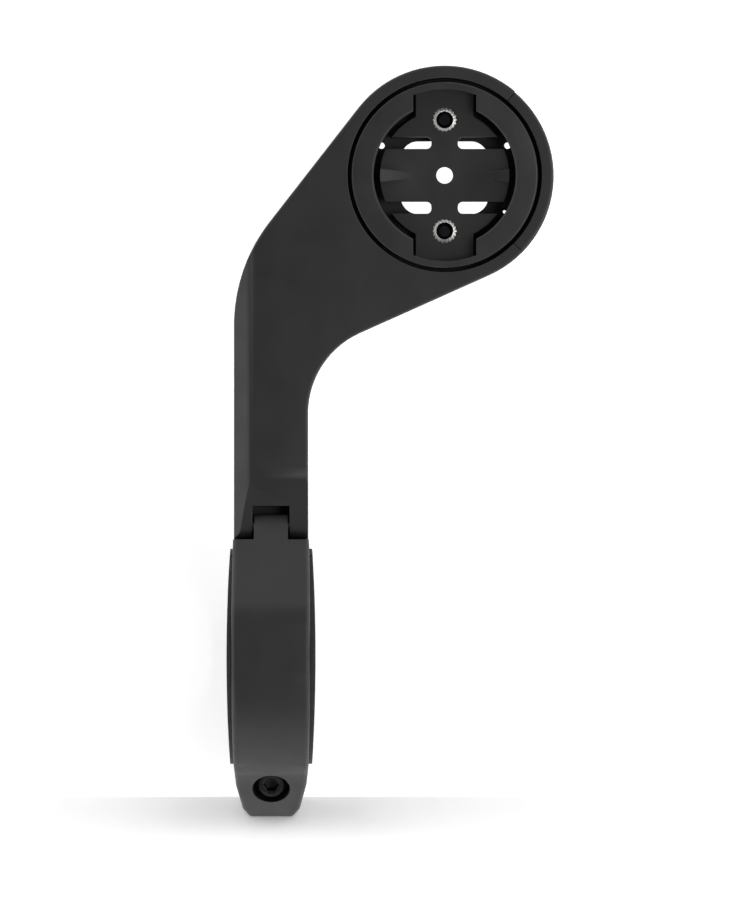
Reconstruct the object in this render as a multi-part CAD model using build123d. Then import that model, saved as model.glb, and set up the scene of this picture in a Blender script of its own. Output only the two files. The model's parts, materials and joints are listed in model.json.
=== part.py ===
from build123d import *
import math
import os

# Out-front handlebar mount for a cycling computer.
# Origin: centre of the handlebar bore.  +X along the bar, +Y forward along the arm, +Z up.
# All sizes are in millimetres.

# ---- handlebar, liners and clamp ring -------------------------------------------------
BAR_R = 15.9                # 31.8 mm handlebar
BAR_CLEAR = 0.05            # bar to liner
LINER_T = 1.65              # rubber liner wall
LINER_GAP = 0.5             # each liner half stops this far from the split
FLANGE_H = 2.4              # height of the liner's flanges over the clamp's bore
RING_T = 3.4                # clamp wall over the liner
SPLIT_GAP = 0.6             # gap between the two clamp halves
LINER_BORE_R = BAR_R + BAR_CLEAR
CLAMP_BORE_R = LINER_BORE_R + LINER_T
FLANGE_R = CLAMP_BORE_R + FLANGE_H
RING_R = CLAMP_BORE_R + RING_T

# ---- hinge between arm and strap ------------------------------------------------------
HINGE_OUT = 3.0             # hinge axis ahead of the ring
HINGE_Z = 9.2
PIN_R = 1.0
PIN_RUN_CLEAR = 0.05        # pin to knuckle bore
PIN_END_INSET = 0.25        # pin ends sit this far inside the ears
KNUCKLE_R = 2.4
KNUCKLE_NOSE_R = 0.5
EAR_R = 2.4
EAR_CLEAR = 0.6             # ears to the hollow under the strap's shoulders
SHOULDER_OUT = 2.2          # the strap's shoulders end this far behind the hinge axis
KNUCKLE_HALF_W = 3.15
NOTCH_SIDE_GAP = 0.3
NOTCH_FRONT_GAP = 1.6
NOTCH_BACK_CUT = 0.9        # the notch runs this far behind the strap's shoulders
NOTCH_FLOOR_GAP = 1.2
HINGE_Y = RING_R + HINGE_OUT
SHOULDER_Y = HINGE_Y - SHOULDER_OUT
NOTCH_HALF_W = KNUCKLE_HALF_W + NOTCH_SIDE_GAP
NOTCH_FRONT_Y = HINGE_Y + KNUCKLE_R + NOTCH_FRONT_GAP
NOTCH_BACK_Y = SHOULDER_Y - NOTCH_BACK_CUT
NOTCH_FLOOR_Z = HINGE_Z - KNUCKLE_R - NOTCH_FLOOR_GAP
TILT = math.degrees(math.atan2(HINGE_Z, HINGE_Y))

SIDE = Plane.YZ
CLAMP = Plane(origin=(0, 0, 0), x_dir=(0, HINGE_Y, HINGE_Z), z_dir=(1, 0, 0))

# ---- clamp screw, washer and nut ------------------------------------------------------
SCREW_R = 1.5               # M3
SCREW_CLEAR = 0.2
SCREW_HEAD_R = 2.75
SCREW_HEAD_H = 3.0
SCREW_HEAD_EDGE = 0.3
SCREW_TIP_EDGE = 0.4
SCREW_PROUD = 0.4           # the screw's end stands this far out of the nut
SCREW_KEY_AF = 2.5
SCREW_KEY_DEPTH = 1.6
SCREW_OUT = 3.4             # screw axis outside the clamp's bore
SCREW_SEAT_V = 8.1          # floor of the head recess above the split
SCREW_SUNK = 2.1            # head below the middle of the recess's mouth
RECESS_R = 3.5
WASHER_R = 3.2
WASHER_T = 0.5
NUT_AF = 5.5
NUT_T = 2.4
NUT_CLEAR = 0.05
NUT_SEAT_V = -6.6
NUT_SUNK = 0.9              # nut inside the lower lug's foot
SCREW_AXIS_U = -(CLAMP_BORE_R + SCREW_OUT)
SCREW_LEN = SCREW_SEAT_V + WASHER_T - NUT_SEAT_V + NUT_T + SCREW_PROUD
SCREW_MOUTH_V = SCREW_SEAT_V + WASHER_T + SCREW_HEAD_H + SCREW_SUNK
LOWER_LUG_V = NUT_SEAT_V - NUT_T - NUT_SUNK
RECESS_MOUTH = CLAMP.from_local_coords((SCREW_AXIS_U, SCREW_MOUTH_V, 0))
SCREW_AXIS = Plane(
    origin=CLAMP.from_local_coords((SCREW_AXIS_U, 0, 0)),
    x_dir=(1, 0, 0),
    z_dir=CLAMP.y_dir,
)
SCREW_AXIS_LINE = Axis(SCREW_AXIS.origin, SCREW_AXIS.z_dir)

# ---- strap outline, seen from the side ------------------------------------------------
STRAP_SLOPE_Y = 8.0         # where the front slope leaves the flat top
STRAP_SLOPE_R = 10.0        # radius that blends the two
STRAP_REAR_EXTRA = 0.7      # the rear shoulder's radius over the ring's
STRAP_REAR_TURN = 65.0      # degrees that the rear shoulder turns before the lug
STRAP_EDGE_R = 0.9
LUG_FACE_TILT = 52.0        # lug face, degrees from level
LUG_REACH = 5.24            # lug behind the middle of the recess's mouth
LUG_FOOT_CUT = 2.0          # corner cut under the lower lug
LOWER_LUG_SHORT = 0.4       # the lower lug stops this far inside the upper one
STRAP_TOP_Z = RING_R
STRAP_REAR_R = RING_R + STRAP_REAR_EXTRA
LUG_END_Y = RECESS_MOUTH.Y - LUG_REACH

# ---- clamp width, seen from above -----------------------------------------------------
CLAMP_MID_HALF_W = 7.3
CLAMP_FRONT_HALF_W = 6.95
CLAMP_REAR_HALF_W = 7.0
LUG_LEN = 10.45
LUG_HALF_W = 5.3
LUG_BULGE = 0.38            # the lug's sides stand out this far at the middle
LUG_CORNER = 1.5
LUG_TIP_HALF_W = 4.0
FLANGE_MID_T = 0.85         # liner flange over the clamp's side, at the top of the ring
FLANGE_END_T = 0.6          # the same near the flange's ends
FLANGE_END_IN = 2.0         # where that is, from the flange's outer radius
CLAMP_REAR_Y = LUG_END_Y + LUG_LEN
LUG_CORNER_Y = LUG_END_Y + LUG_CORNER

# ---- puck (quarter-turn socket) -------------------------------------------------------
CHANNEL_R = 15.95           # the lugs of the computer turn inside this
LIP_W = 2.8
LIP_T = 1.8
LIP_EDGE = 0.3
PUCK_WALL = 1.3
PUCK_EDGE_R = 0.35
FLOOR_DROP = 4.0            # floor below the top of the lips
FLOOR_T = 2.2
FLOOR_GAP = 1.05            # floor's edge inside the lips, seen from above
ENTRY_HALF_W = 5.85
ENTRY_GAP = 0.5             # the floor's run-out stops this far inside each side of an entry
FINGER_HALF_W = 4.9
FINGER_ROOT_X = 2.45
FINGER_END_GAP = 0.1        # finger's end inside the floor's edge
FINGER_T = 1.4
SLOT_OUT_Y = 7.1
SLOT_END_R = 0.9
CENTRE_HOLE_R = 1.55
RAMP_H = 1.0
RAMP_HALF_W = 1.25
RAMP_TAPER = 0.45
RAMP_LEN_LEFT = 5.9
RAMP_LEN_RIGHT = 3.7
LIP_R = CHANNEL_R - LIP_W
PUCK_R = CHANNEL_R + PUCK_WALL
FLOOR_R = LIP_R - FLOOR_GAP
FINGER_R = FLOOR_R - FINGER_END_GAP

# ---- head and front rim ---------------------------------------------------------------
GROOVE_W = 0.75             # groove between the puck and the head
HEAD_RIM_W = 2.25
RIM_STEP = 0.2              # the front rim is this much smaller than the head
RIM_H = 7.0
RIM_DROP = 0.15             # and its top this much lower
RIM_START = -45.0           # degrees from +X
RIM_END = 50.0
RIM_GAP = 0.1
RIM_EDGE_R = 0.4
RIM_PEG_R = 0.5
RIM_PEG_LEN = 2.0
RIM_PEG_CLEAR = 0.05
RIM_PEG_ANGLES = (-30.0, 2.5, 35.0)
WINDOW_IN = 4.0             # the window under the fingers, inside the floor's edge
WINDOW_SHORT = 0.7          # and inside the front slots' outer edges
WINDOW_CORNER_R = 3.2
RELIEF_OVER = 2.2           # head left under the relief below the fingers and the channel
RELIEF_WALL = 0.9           # and round each boss
DRAIN_OUT = 0.87            # drains outside the floor's edge
DRAINS = ((25.6, 0.6), (154.4, 0.6), (-31.0, 0.3))  # degrees from +X, radius
POCKET_R = PUCK_R + GROOVE_W
HEAD_R = POCKET_R + HEAD_RIM_W
RIM_R = HEAD_R - RIM_STEP
RIM_MID_R = (POCKET_R + RIM_R) / 2

# ---- arm, seen from above -------------------------------------------------------------
ARM_HALF_W = 6.85
HEAD_X = 32.15
HEAD_Y = 89.2
OUTER_BEND_R = 31.07
OUTER_EDGE_DIR = 52.1       # degrees from +X
INNER_BEND_R = 16.3
INNER_EDGE_DIR = 24.1

# ---- arm, seen from the side ----------------------------------------------------------
ARM_TOP_Z = 13.0
TOP_FULL_RUN = 10.0         # the arm's full height starts this far ahead of the hinge
TOP_BLEND_R = 18.0          # blends the level top into the slope down to the ears
TOP_EDGE_R = 0.5
HEAD_T = 10.4
ROOT_ANGLE = 50.0           # the underside leaves the ring this far below level
UNDER_BLEND_R = 40.0
BEVEL_X = -3.8              # the bevel along the arm's outer side starts here
BEVEL_SLOPE = 38.0
BEVEL_BLEND_R = 3.5
PANEL_WALL = 2.4
PANEL_DEPTH = 3.2            # panels sunk in the underside
PANEL_RUN = 9.0              # the first starts this far ahead of the hinge
PANEL_RIB_T = 1.6
PANEL_PITCH = 11.5
PANEL_COUNT = 5
PANEL_HEAD_WALL = 2.0
ARM_TOP_FULL_Y = HINGE_Y + TOP_FULL_RUN
PANEL_START_Y = HINGE_Y + PANEL_RUN
HEAD_BOTTOM_Z = ARM_TOP_Z - HEAD_T
RIM_SEAT_Z = ARM_TOP_Z - RIM_H
FLOOR_Z = ARM_TOP_Z - FLOOR_DROP
POCKET_FLOOR_Z = FLOOR_Z - FLOOR_T

# ---- puck inserts and screws ----------------------------------------------------------
INSERT_IN = 1.8             # insert axes inside the floor's edge
INSERT_R = 2.4
INSERT_LEN = 3.0
INSERT_BOSS_R = 3.6
BOSS_CLEAR = 0.1
KNURL_COUNT = 18
KNURL_DEPTH = 0.25
PUCK_SCREW_R = 1.5
PUCK_SCREW_HEAD_R = 2.75
PUCK_SCREW_HEAD_H = 1.8
PUCK_SCREW_EDGE_R = 0.7
PUCK_SCREW_RECESS_R = 2.95
PUCK_SCREW_SEAT = 2.0       # depth of the recess under the head
PUCK_SCREW_SHORT = 1.2      # the screw's end below the insert's top
PUCK_SCREW_KEY_AF = 2.0
PUCK_SCREW_KEY_DEPTH = 1.0
INSERT_Y = FLOOR_R - INSERT_IN
INSERT_LOW_Z = FLOOR_Z - INSERT_LEN
PUCK_SCREW_SEAT_Z = HEAD_BOTTOM_Z + PUCK_SCREW_SEAT
PUCK_SCREW_END_Z = FLOOR_Z - PUCK_SCREW_SHORT

CLEAR_OF_ALL = 150.0        # a length that reaches past the whole part


def outline(*edges):
    """A flat face from edges that follow each other."""
    wire = edges[0]
    for edge in edges[1:]:
        wire = wire + edge
    return make_face(wire)


def across(face, half_width, plane=SIDE):
    """A prism of the face, as wide as half_width to each side of the arm's middle plane."""
    return extrude(plane * face, half_width, both=True)


def upright(face, low, high):
    """A prism of the face from one height to another."""
    return extrude(Plane.XY.offset(low) * face, high - low)


def cylinder_x(y, z, radius, half_width):
    """A cylinder along the bar's direction."""
    return across(Pos(y, z) * Circle(radius), half_width)


def cylinder_z(x, y, radius, low, high):
    """An upright cylinder."""
    return upright(Pos(x, y) * Circle(radius), low, high)


def on_screw_axis(face, low, high):
    """A prism of the face along the clamp screw, by heights above the split."""
    return extrude(SCREW_AXIS.offset(low) * face, high - low)


def hexagon(across_flats):
    """A hexagon by its width across flats."""
    return RegularPolygon(radius=across_flats / 2, side_count=6, major_radius=False)


def at_head(x, y):
    """A place in the head, from its centre."""
    return HEAD_X + x, HEAD_Y + y


def point_on(centre, radius, degrees):
    """A point on a circle."""
    angle = math.radians(degrees)
    return centre[0] + radius * math.cos(angle), centre[1] + radius * math.sin(angle)


def half_of_clamp(upper, gap):
    """Everything on one side of the split, leaving half the gap."""
    sign = 1 if upper else -1
    middle = sign * (gap / 2 + CLEAR_OF_ALL)
    return across(Pos(0, middle) * Rectangle(4 * CLEAR_OF_ALL, 2 * CLEAR_OF_ALL), CLEAR_OF_ALL, CLAMP)


def edges_at_height(solid, height):
    """The edges of a solid that lie level at one height."""
    return solid.edges().filter_by_position(Axis.Z, height - 0.01, height + 0.01)


# ---- outlines seen from above ---------------------------------------------------------
def barrel_x(mid, end, end_y, y):
    """Half width at y of a barrel that is mid wide at the bar's axis and end wide at end_y."""
    radius = (end_y**2 + (mid - end) ** 2) / (2 * (mid - end))
    return mid - radius + math.sqrt(radius**2 - y**2)


def clamp_plan():
    """The clamp from above: a slight barrel, then the lug's taper in two steps and its cut corners."""
    front_y = HINGE_Y + KNUCKLE_R + EAR_CLEAR
    front_x = barrel_x(CLAMP_MID_HALF_W, CLAMP_FRONT_HALF_W, HINGE_Y, front_y)
    rear = (CLAMP_REAR_HALF_W, CLAMP_REAR_Y)
    bow_x = (CLAMP_REAR_HALF_W + LUG_HALF_W) / 2 + LUG_BULGE
    bow_y = (CLAMP_REAR_Y + LUG_CORNER_Y) / 2
    return outline(
        ThreePointArc((front_x, front_y), (CLAMP_MID_HALF_W, 0), rear),
        Line(rear, (bow_x, bow_y)),
        Line((bow_x, bow_y), (LUG_HALF_W, LUG_CORNER_Y)),
        Line((LUG_HALF_W, LUG_CORNER_Y), (LUG_TIP_HALF_W, LUG_END_Y)),
        Line((LUG_TIP_HALF_W, LUG_END_Y), (-LUG_TIP_HALF_W, LUG_END_Y)),
        Line((-LUG_TIP_HALF_W, LUG_END_Y), (-LUG_HALF_W, LUG_CORNER_Y)),
        Line((-LUG_HALF_W, LUG_CORNER_Y), (-bow_x, bow_y)),
        Line((-bow_x, bow_y), (-rear[0], rear[1])),
        ThreePointArc((-rear[0], rear[1]), (-CLAMP_MID_HALF_W, 0), (-front_x, front_y)),
        Line((-front_x, front_y), (front_x, front_y)),
    )


def flange_plan():
    """The liner's flanges from above: a wider barrel than the clamp's."""
    reach = FLANGE_R + 1
    end_y = FLANGE_R - FLANGE_END_IN
    mid_x = CLAMP_MID_HALF_W + FLANGE_MID_T
    end_x = barrel_x(CLAMP_MID_HALF_W, CLAMP_FRONT_HALF_W, HINGE_Y, end_y) + FLANGE_END_T
    end_x = barrel_x(mid_x, end_x, end_y, reach)
    return outline(
        ThreePointArc((end_x, reach), (mid_x, 0), (end_x, -reach)),
        Line((end_x, -reach), (-end_x, -reach)),
        ThreePointArc((-end_x, -reach), (-mid_x, 0), (-end_x, reach)),
        Line((-end_x, reach), (end_x, reach)),
    )


def arm_plan():
    """The arm from above: straight, then one bend out to the head, as a tangent chain."""
    a = math.radians(OUTER_EDGE_DIR)
    b = math.radians(INNER_EDGE_DIR)
    head = (HEAD_X, HEAD_Y)
    outer_head = point_on(head, HEAD_R, OUTER_EDGE_DIR + 90)
    inner_head = point_on(head, HEAD_R, INNER_EDGE_DIR - 90)
    outer_x = OUTER_BEND_R - ARM_HALF_W
    outer_shift = (outer_x - outer_head[0]) * math.sin(a) - OUTER_BEND_R
    outer_centre = (outer_x, outer_head[1] + outer_shift / math.cos(a))
    inner_x = INNER_BEND_R + ARM_HALF_W
    inner_shift = (inner_x - inner_head[0]) * math.sin(b) - INNER_BEND_R
    inner_centre = (inner_x, inner_head[1] + inner_shift / math.cos(b))
    outer_start = point_on(outer_centre, OUTER_BEND_R, 180)
    outer_mid = point_on(outer_centre, OUTER_BEND_R, (180 + OUTER_EDGE_DIR + 90) / 2)
    outer_end = point_on(outer_centre, OUTER_BEND_R, OUTER_EDGE_DIR + 90)
    inner_start = point_on(inner_centre, INNER_BEND_R, 180)
    inner_mid = point_on(inner_centre, INNER_BEND_R, (180 + INNER_EDGE_DIR + 90) / 2)
    inner_end = point_on(inner_centre, INNER_BEND_R, INNER_EDGE_DIR + 90)
    head_front = point_on(head, HEAD_R, (OUTER_EDGE_DIR + INNER_EDGE_DIR) / 2)
    back_left = (-ARM_HALF_W, 0)
    back_right = (ARM_HALF_W, 0)
    return outline(
        Line(back_left, outer_start),
        ThreePointArc(outer_start, outer_mid, outer_end),
        Line(outer_end, outer_head),
        ThreePointArc(outer_head, head_front, inner_head),
        Line(inner_head, inner_end),
        ThreePointArc(inner_end, inner_mid, inner_start),
        Line(inner_start, back_right),
        Line(back_right, back_left),
    )


# ---- outlines seen from the side ------------------------------------------------------
def split_point(y):
    """The point of the lower split face at y, as (y, z)."""
    angle = math.radians(TILT)
    return y, y * math.tan(angle) - SPLIT_GAP / 2 / math.cos(angle)


def top_slope():
    """The slope from the level top down to the ears: its angle and its low end, tangent to them."""
    run = ARM_TOP_FULL_Y - HINGE_Y
    drop = ARM_TOP_Z - HINGE_Z
    reach = math.hypot(run, drop)
    slope = math.atan2(drop, run) - math.asin(EAR_R / reach)
    low = point_on((HINGE_Y, HINGE_Z), EAR_R, 90 + math.degrees(slope))
    return slope, low


def arm_side():
    """The arm from the side: a level top, a slope down to the ears, a blended underside."""
    slope, slope_low = top_slope()
    trim = TOP_BLEND_R * math.tan(slope / 2)
    top_end = (ARM_TOP_FULL_Y + trim, ARM_TOP_Z)
    top_mid = point_on((top_end[0], ARM_TOP_Z - TOP_BLEND_R), TOP_BLEND_R, 90 + math.degrees(slope) / 2)
    slope_high = (ARM_TOP_FULL_Y - trim * math.cos(slope), ARM_TOP_Z - trim * math.sin(slope))
    turn = math.radians(90 - ROOT_ANGLE)
    root = point_on((0, 0), RING_R, -ROOT_ANGLE)
    blend_z = HEAD_BOTTOM_Z - UNDER_BLEND_R * (1 - math.cos(turn))
    run = (blend_z - root[1]) / math.sin(turn)
    blend_start = (root[0] + run * math.cos(turn), blend_z)
    blend_centre = (blend_start[0] + UNDER_BLEND_R * math.sin(turn), HEAD_BOTTOM_Z - UNDER_BLEND_R)
    blend_mid = point_on(blend_centre, UNDER_BLEND_R, 90 + (90 - ROOT_ANGLE) / 2)
    blend_end = (blend_centre[0], HEAD_BOTTOM_Z)
    far_y = HEAD_Y + HEAD_R + EAR_R
    ear_back = (HINGE_Y - EAR_R, HINGE_Z)
    ear_mid = point_on((HINGE_Y, HINGE_Z), EAR_R, 135)
    split_start = split_point(0)
    split_end = split_point(ear_back[0])
    return outline(
        ThreePointArc(ear_back, ear_mid, slope_low),
        Line(slope_low, slope_high),
        ThreePointArc(slope_high, top_mid, top_end),
        Line(top_end, (far_y, ARM_TOP_Z)),
        Line((far_y, ARM_TOP_Z), (far_y, HEAD_BOTTOM_Z)),
        Line((far_y, HEAD_BOTTOM_Z), blend_end),
        ThreePointArc(blend_end, blend_mid, blend_start),
        Line(blend_start, root),
        Line(root, split_start),
        Line(split_start, split_end),
        Line(split_end, ear_back),
    )


def strap_slope():
    """The front slope: its angle, and its two ends, tangent to the knuckle."""
    run = HINGE_Y - STRAP_SLOPE_Y
    drop = STRAP_TOP_Z - HINGE_Z
    reach = math.hypot(run, drop)
    slope = math.atan2(drop, run) - math.asin(KNUCKLE_R / reach)
    low = point_on((HINGE_Y, HINGE_Z), KNUCKLE_R, 90 - math.degrees(slope))
    return slope, (STRAP_SLOPE_Y, STRAP_TOP_Z), low


def strap_side():
    """The strap from the side: front slope, flat top, rear shoulder and the lug's tilted face."""
    slope, slope_top, slope_low = strap_slope()
    trim = STRAP_SLOPE_R * math.tan(slope / 2)
    flat_front = (slope_top[0] - trim, STRAP_TOP_Z)
    blend_centre = (flat_front[0], STRAP_TOP_Z - STRAP_SLOPE_R)
    slope_start = (slope_top[0] + trim * math.cos(slope), STRAP_TOP_Z - trim * math.sin(slope))
    blend_mid = point_on(blend_centre, STRAP_SLOPE_R, 90 - math.degrees(slope) / 2)
    face = math.radians(LUG_FACE_TILT)
    turn = math.radians(STRAP_REAR_TURN)
    recess_y, recess_z = RECESS_MOUTH.Y, RECESS_MOUTH.Z
    shoulder_drop = STRAP_REAR_R * (1 - math.cos(turn))
    shoulder_z = STRAP_TOP_Z - shoulder_drop
    shoulder_y = recess_y + (shoulder_z - recess_z) / math.tan(face)
    flat_rear = (shoulder_y + STRAP_REAR_R * math.sin(turn), STRAP_TOP_Z)
    shoulder_centre = (flat_rear[0], STRAP_TOP_Z - STRAP_REAR_R)
    shoulder_mid = point_on(shoulder_centre, STRAP_REAR_R, 90 + STRAP_REAR_TURN / 2)
    tip = lug_tip()
    tip_low = point_on(tip, CLAMP_BORE_R, TILT - 90)
    return outline(
        Line(slope_low, slope_start),
        ThreePointArc(slope_start, blend_mid, flat_front),
        Line(flat_front, flat_rear),
        ThreePointArc(flat_rear, shoulder_mid, (shoulder_y, shoulder_z)),
        Line((shoulder_y, shoulder_z), tip),
        Line(tip, tip_low),
        Line(tip_low, (HINGE_Y, HINGE_Z)),
        Line((HINGE_Y, HINGE_Z), slope_low),
    )


def lug_tip():
    """The rear end of the lug's face, as (y, z)."""
    return LUG_END_Y, RECESS_MOUTH.Z - LUG_REACH * math.tan(math.radians(LUG_FACE_TILT))


# ---- pieces ---------------------------------------------------------------------------
def knuckle_nose():
    """The knuckle ahead of its axis: the strap's front slope run on to a blunt nose."""
    slope, _, slope_low = strap_slope()
    front_y = HINGE_Y + KNUCKLE_R
    nose_z = HINGE_Z + KNUCKLE_R * (1 - math.sin(slope)) / math.cos(slope)
    side = make_face(Polyline(
        (HINGE_Y, HINGE_Z),
        slope_low,
        (front_y, nose_z),
        (front_y, HINGE_Z),
        close=True,
    ))
    nose = across(side, KNUCKLE_HALF_W)
    return fillet(nose.edges().filter_by(Axis.X).sort_by(nose_edge_rank)[-1:], KNUCKLE_NOSE_R)


def nose_edge_rank(edge):
    """Ranks the nose's level edges: the front upper one comes last."""
    middle = edge.position_at(0.5)
    return middle.Y + middle.Z


def build_strap(clamp_outline):
    """Upper clamp half: knuckle at the front, screw lug at the rear."""
    blank = across(strap_side(), 2 * CLAMP_MID_HALF_W) & half_of_clamp(True, SPLIT_GAP)
    blank = blank & upright(clamp_outline, -CLEAR_OF_ALL, CLEAR_OF_ALL)
    blank = fillet(blank.edges().filter_by(is_strap_rim), STRAP_EDGE_R)
    front = SHOULDER_Y + CLEAR_OF_ALL
    shoulder = Pos(0, front) * Rectangle(2 * CLEAR_OF_ALL, 2 * CLEAR_OF_ALL)
    shoulder = upright(shoulder, -CLEAR_OF_ALL, CLEAR_OF_ALL)
    sweep = cylinder_x(HINGE_Y, HINGE_Z, EAR_R + EAR_CLEAR, CLEAR_OF_ALL)
    middle = across(Rectangle(4 * CLEAR_OF_ALL, 4 * CLEAR_OF_ALL), KNUCKLE_HALF_W)
    knuckle = cylinder_x(HINGE_Y, HINGE_Z, KNUCKLE_R, KNUCKLE_HALF_W) + knuckle_nose()
    strap = (blank - middle - shoulder - sweep) + (blank & middle) + knuckle
    strap = strap - cylinder_x(0, 0, CLAMP_BORE_R, CLEAR_OF_ALL)
    strap = strap - cylinder_x(HINGE_Y, HINGE_Z, PIN_R + PIN_RUN_CLEAR, CLEAR_OF_ALL)
    strap = strap - on_screw_axis(Circle(RECESS_R), SCREW_SEAT_V, CLEAR_OF_ALL)
    return strap - on_screw_axis(Circle(SCREW_R + SCREW_CLEAR), -CLEAR_OF_ALL, CLEAR_OF_ALL)


def is_strap_rim(edge):
    """True on the strap's long outer edges, left and right, above its split face."""
    point = edge.position_at(0.5)
    outside = math.hypot(point.Y, point.Z) > CLAMP_BORE_R
    return abs(point.X) > LUG_TIP_HALF_W * 0.9 and outside and CLAMP.to_local_coords(point).Y > SPLIT_GAP


def build_lower_clamp(clamp_outline):
    """Lower clamp half: the ring and its lug with the nut's pocket."""
    lug_end = CLAMP.to_local_coords(Vector(0, *lug_tip())).X + LOWER_LUG_SHORT
    lug_in = SCREW_AXIS_U + RECESS_R
    ring_low = -math.sqrt(RING_R**2 - lug_in**2)
    lug = Polyline(
        (lug_end, 0),
        (lug_end, LOWER_LUG_V + LUG_FOOT_CUT),
        (lug_end + LUG_FOOT_CUT, LOWER_LUG_V),
        (lug_in, ring_low),
        (lug_in, 0),
        (lug_end, 0),
    )
    ring = across(Circle(RING_R), 2 * CLAMP_MID_HALF_W, CLAMP)
    body = (ring + across(make_face(lug), 2 * CLAMP_MID_HALF_W, CLAMP)) & half_of_clamp(False, SPLIT_GAP)
    return body & upright(clamp_outline, -CLEAR_OF_ALL, CLEAR_OF_ALL)


def bevel_cutter():
    """What the arm loses along its outer side: a slope, blended into the level top."""
    slope = math.radians(BEVEL_SLOPE)
    trim = BEVEL_BLEND_R * math.tan(slope / 2)
    top = (BEVEL_X + trim, ARM_TOP_Z)
    mid = point_on((top[0], ARM_TOP_Z - BEVEL_BLEND_R), BEVEL_BLEND_R, 90 + BEVEL_SLOPE / 2)
    low = (BEVEL_X - trim * math.cos(slope), ARM_TOP_Z - trim * math.sin(slope))
    far_x = -2 * ARM_HALF_W
    far_z = low[1] - (low[0] - far_x) * math.tan(slope)
    face = outline(
        ThreePointArc(top, mid, low),
        Line(low, (far_x, far_z)),
        Line((far_x, far_z), (far_x, 2 * ARM_TOP_Z)),
        Line((far_x, 2 * ARM_TOP_Z), (top[0], 2 * ARM_TOP_Z)),
        Line((top[0], 2 * ARM_TOP_Z), top),
    )
    return extrude(Plane.XZ * face, -2 * CLEAR_OF_ALL)


def panel_cutter(plan):
    """Panels sunk in the arm's underside: its outline less a wall, parted by cross ribs."""
    inner = offset(plan, -PANEL_WALL)
    head = Pos(HEAD_X, HEAD_Y) * Circle(HEAD_R + PANEL_HEAD_WALL)
    back = Pos(0, PANEL_START_Y - CLEAR_OF_ALL) * Rectangle(4 * CLEAR_OF_ALL, 2 * CLEAR_OF_ALL)
    cells = inner - head - back
    for index in range(1, PANEL_COUNT):
        rib_y = PANEL_START_Y + index * PANEL_PITCH
        cells = cells - Pos(0, rib_y) * Rectangle(4 * CLEAR_OF_ALL, PANEL_RIB_T)
    over_panels = Pos(0, 0, PANEL_DEPTH) * across(arm_side(), CLEAR_OF_ALL)
    return upright(cells, -CLEAR_OF_ALL, ARM_TOP_Z) - over_panels


def build_arm(clamp_outline, plan):
    """Arm, head shell, hinge ears and lower clamp half, in one moulding."""
    bar = upright(plan, -CLEAR_OF_ALL, ARM_TOP_Z)
    bar = fillet(edges_at_height(bar, ARM_TOP_Z), TOP_EDGE_R)
    bar = (bar - bevel_cutter()) & across(arm_side(), CLEAR_OF_ALL)
    bar = bar - panel_cutter(plan)
    arm = bar + build_lower_clamp(clamp_outline)
    arm = arm - cylinder_x(0, 0, CLAMP_BORE_R, CLEAR_OF_ALL)
    notch_mid = (NOTCH_FRONT_Y + NOTCH_BACK_Y) / 2
    notch = Pos(0, notch_mid) * Rectangle(2 * NOTCH_HALF_W, NOTCH_FRONT_Y - NOTCH_BACK_Y)
    arm = arm - upright(notch, NOTCH_FLOOR_Z, CLEAR_OF_ALL)
    arm = arm - cylinder_x(HINGE_Y, HINGE_Z, PIN_R, ARM_HALF_W - PIN_END_INSET)
    arm = arm - on_screw_axis(Circle(SCREW_R + SCREW_CLEAR), -CLEAR_OF_ALL, CLEAR_OF_ALL)
    arm = arm - on_screw_axis(hexagon(NUT_AF + 2 * NUT_CLEAR), -CLEAR_OF_ALL, NUT_SEAT_V)
    return arm - head_cutter()


def relief_plan():
    """The relief in the pocket's floor, from above: the channel, the fingers and their slots."""
    strip = Rectangle(2 * CHANNEL_R, 2 * SLOT_OUT_Y) - Rectangle(2 * FINGER_ROOT_X, 2 * CHANNEL_R)
    face = Circle(CHANNEL_R) - (Circle(FLOOR_R) - strip)
    for side in (1, -1):
        face = face - Pos(0, side * INSERT_Y) * Circle(INSERT_BOSS_R + RELIEF_WALL)
    return face


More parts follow.
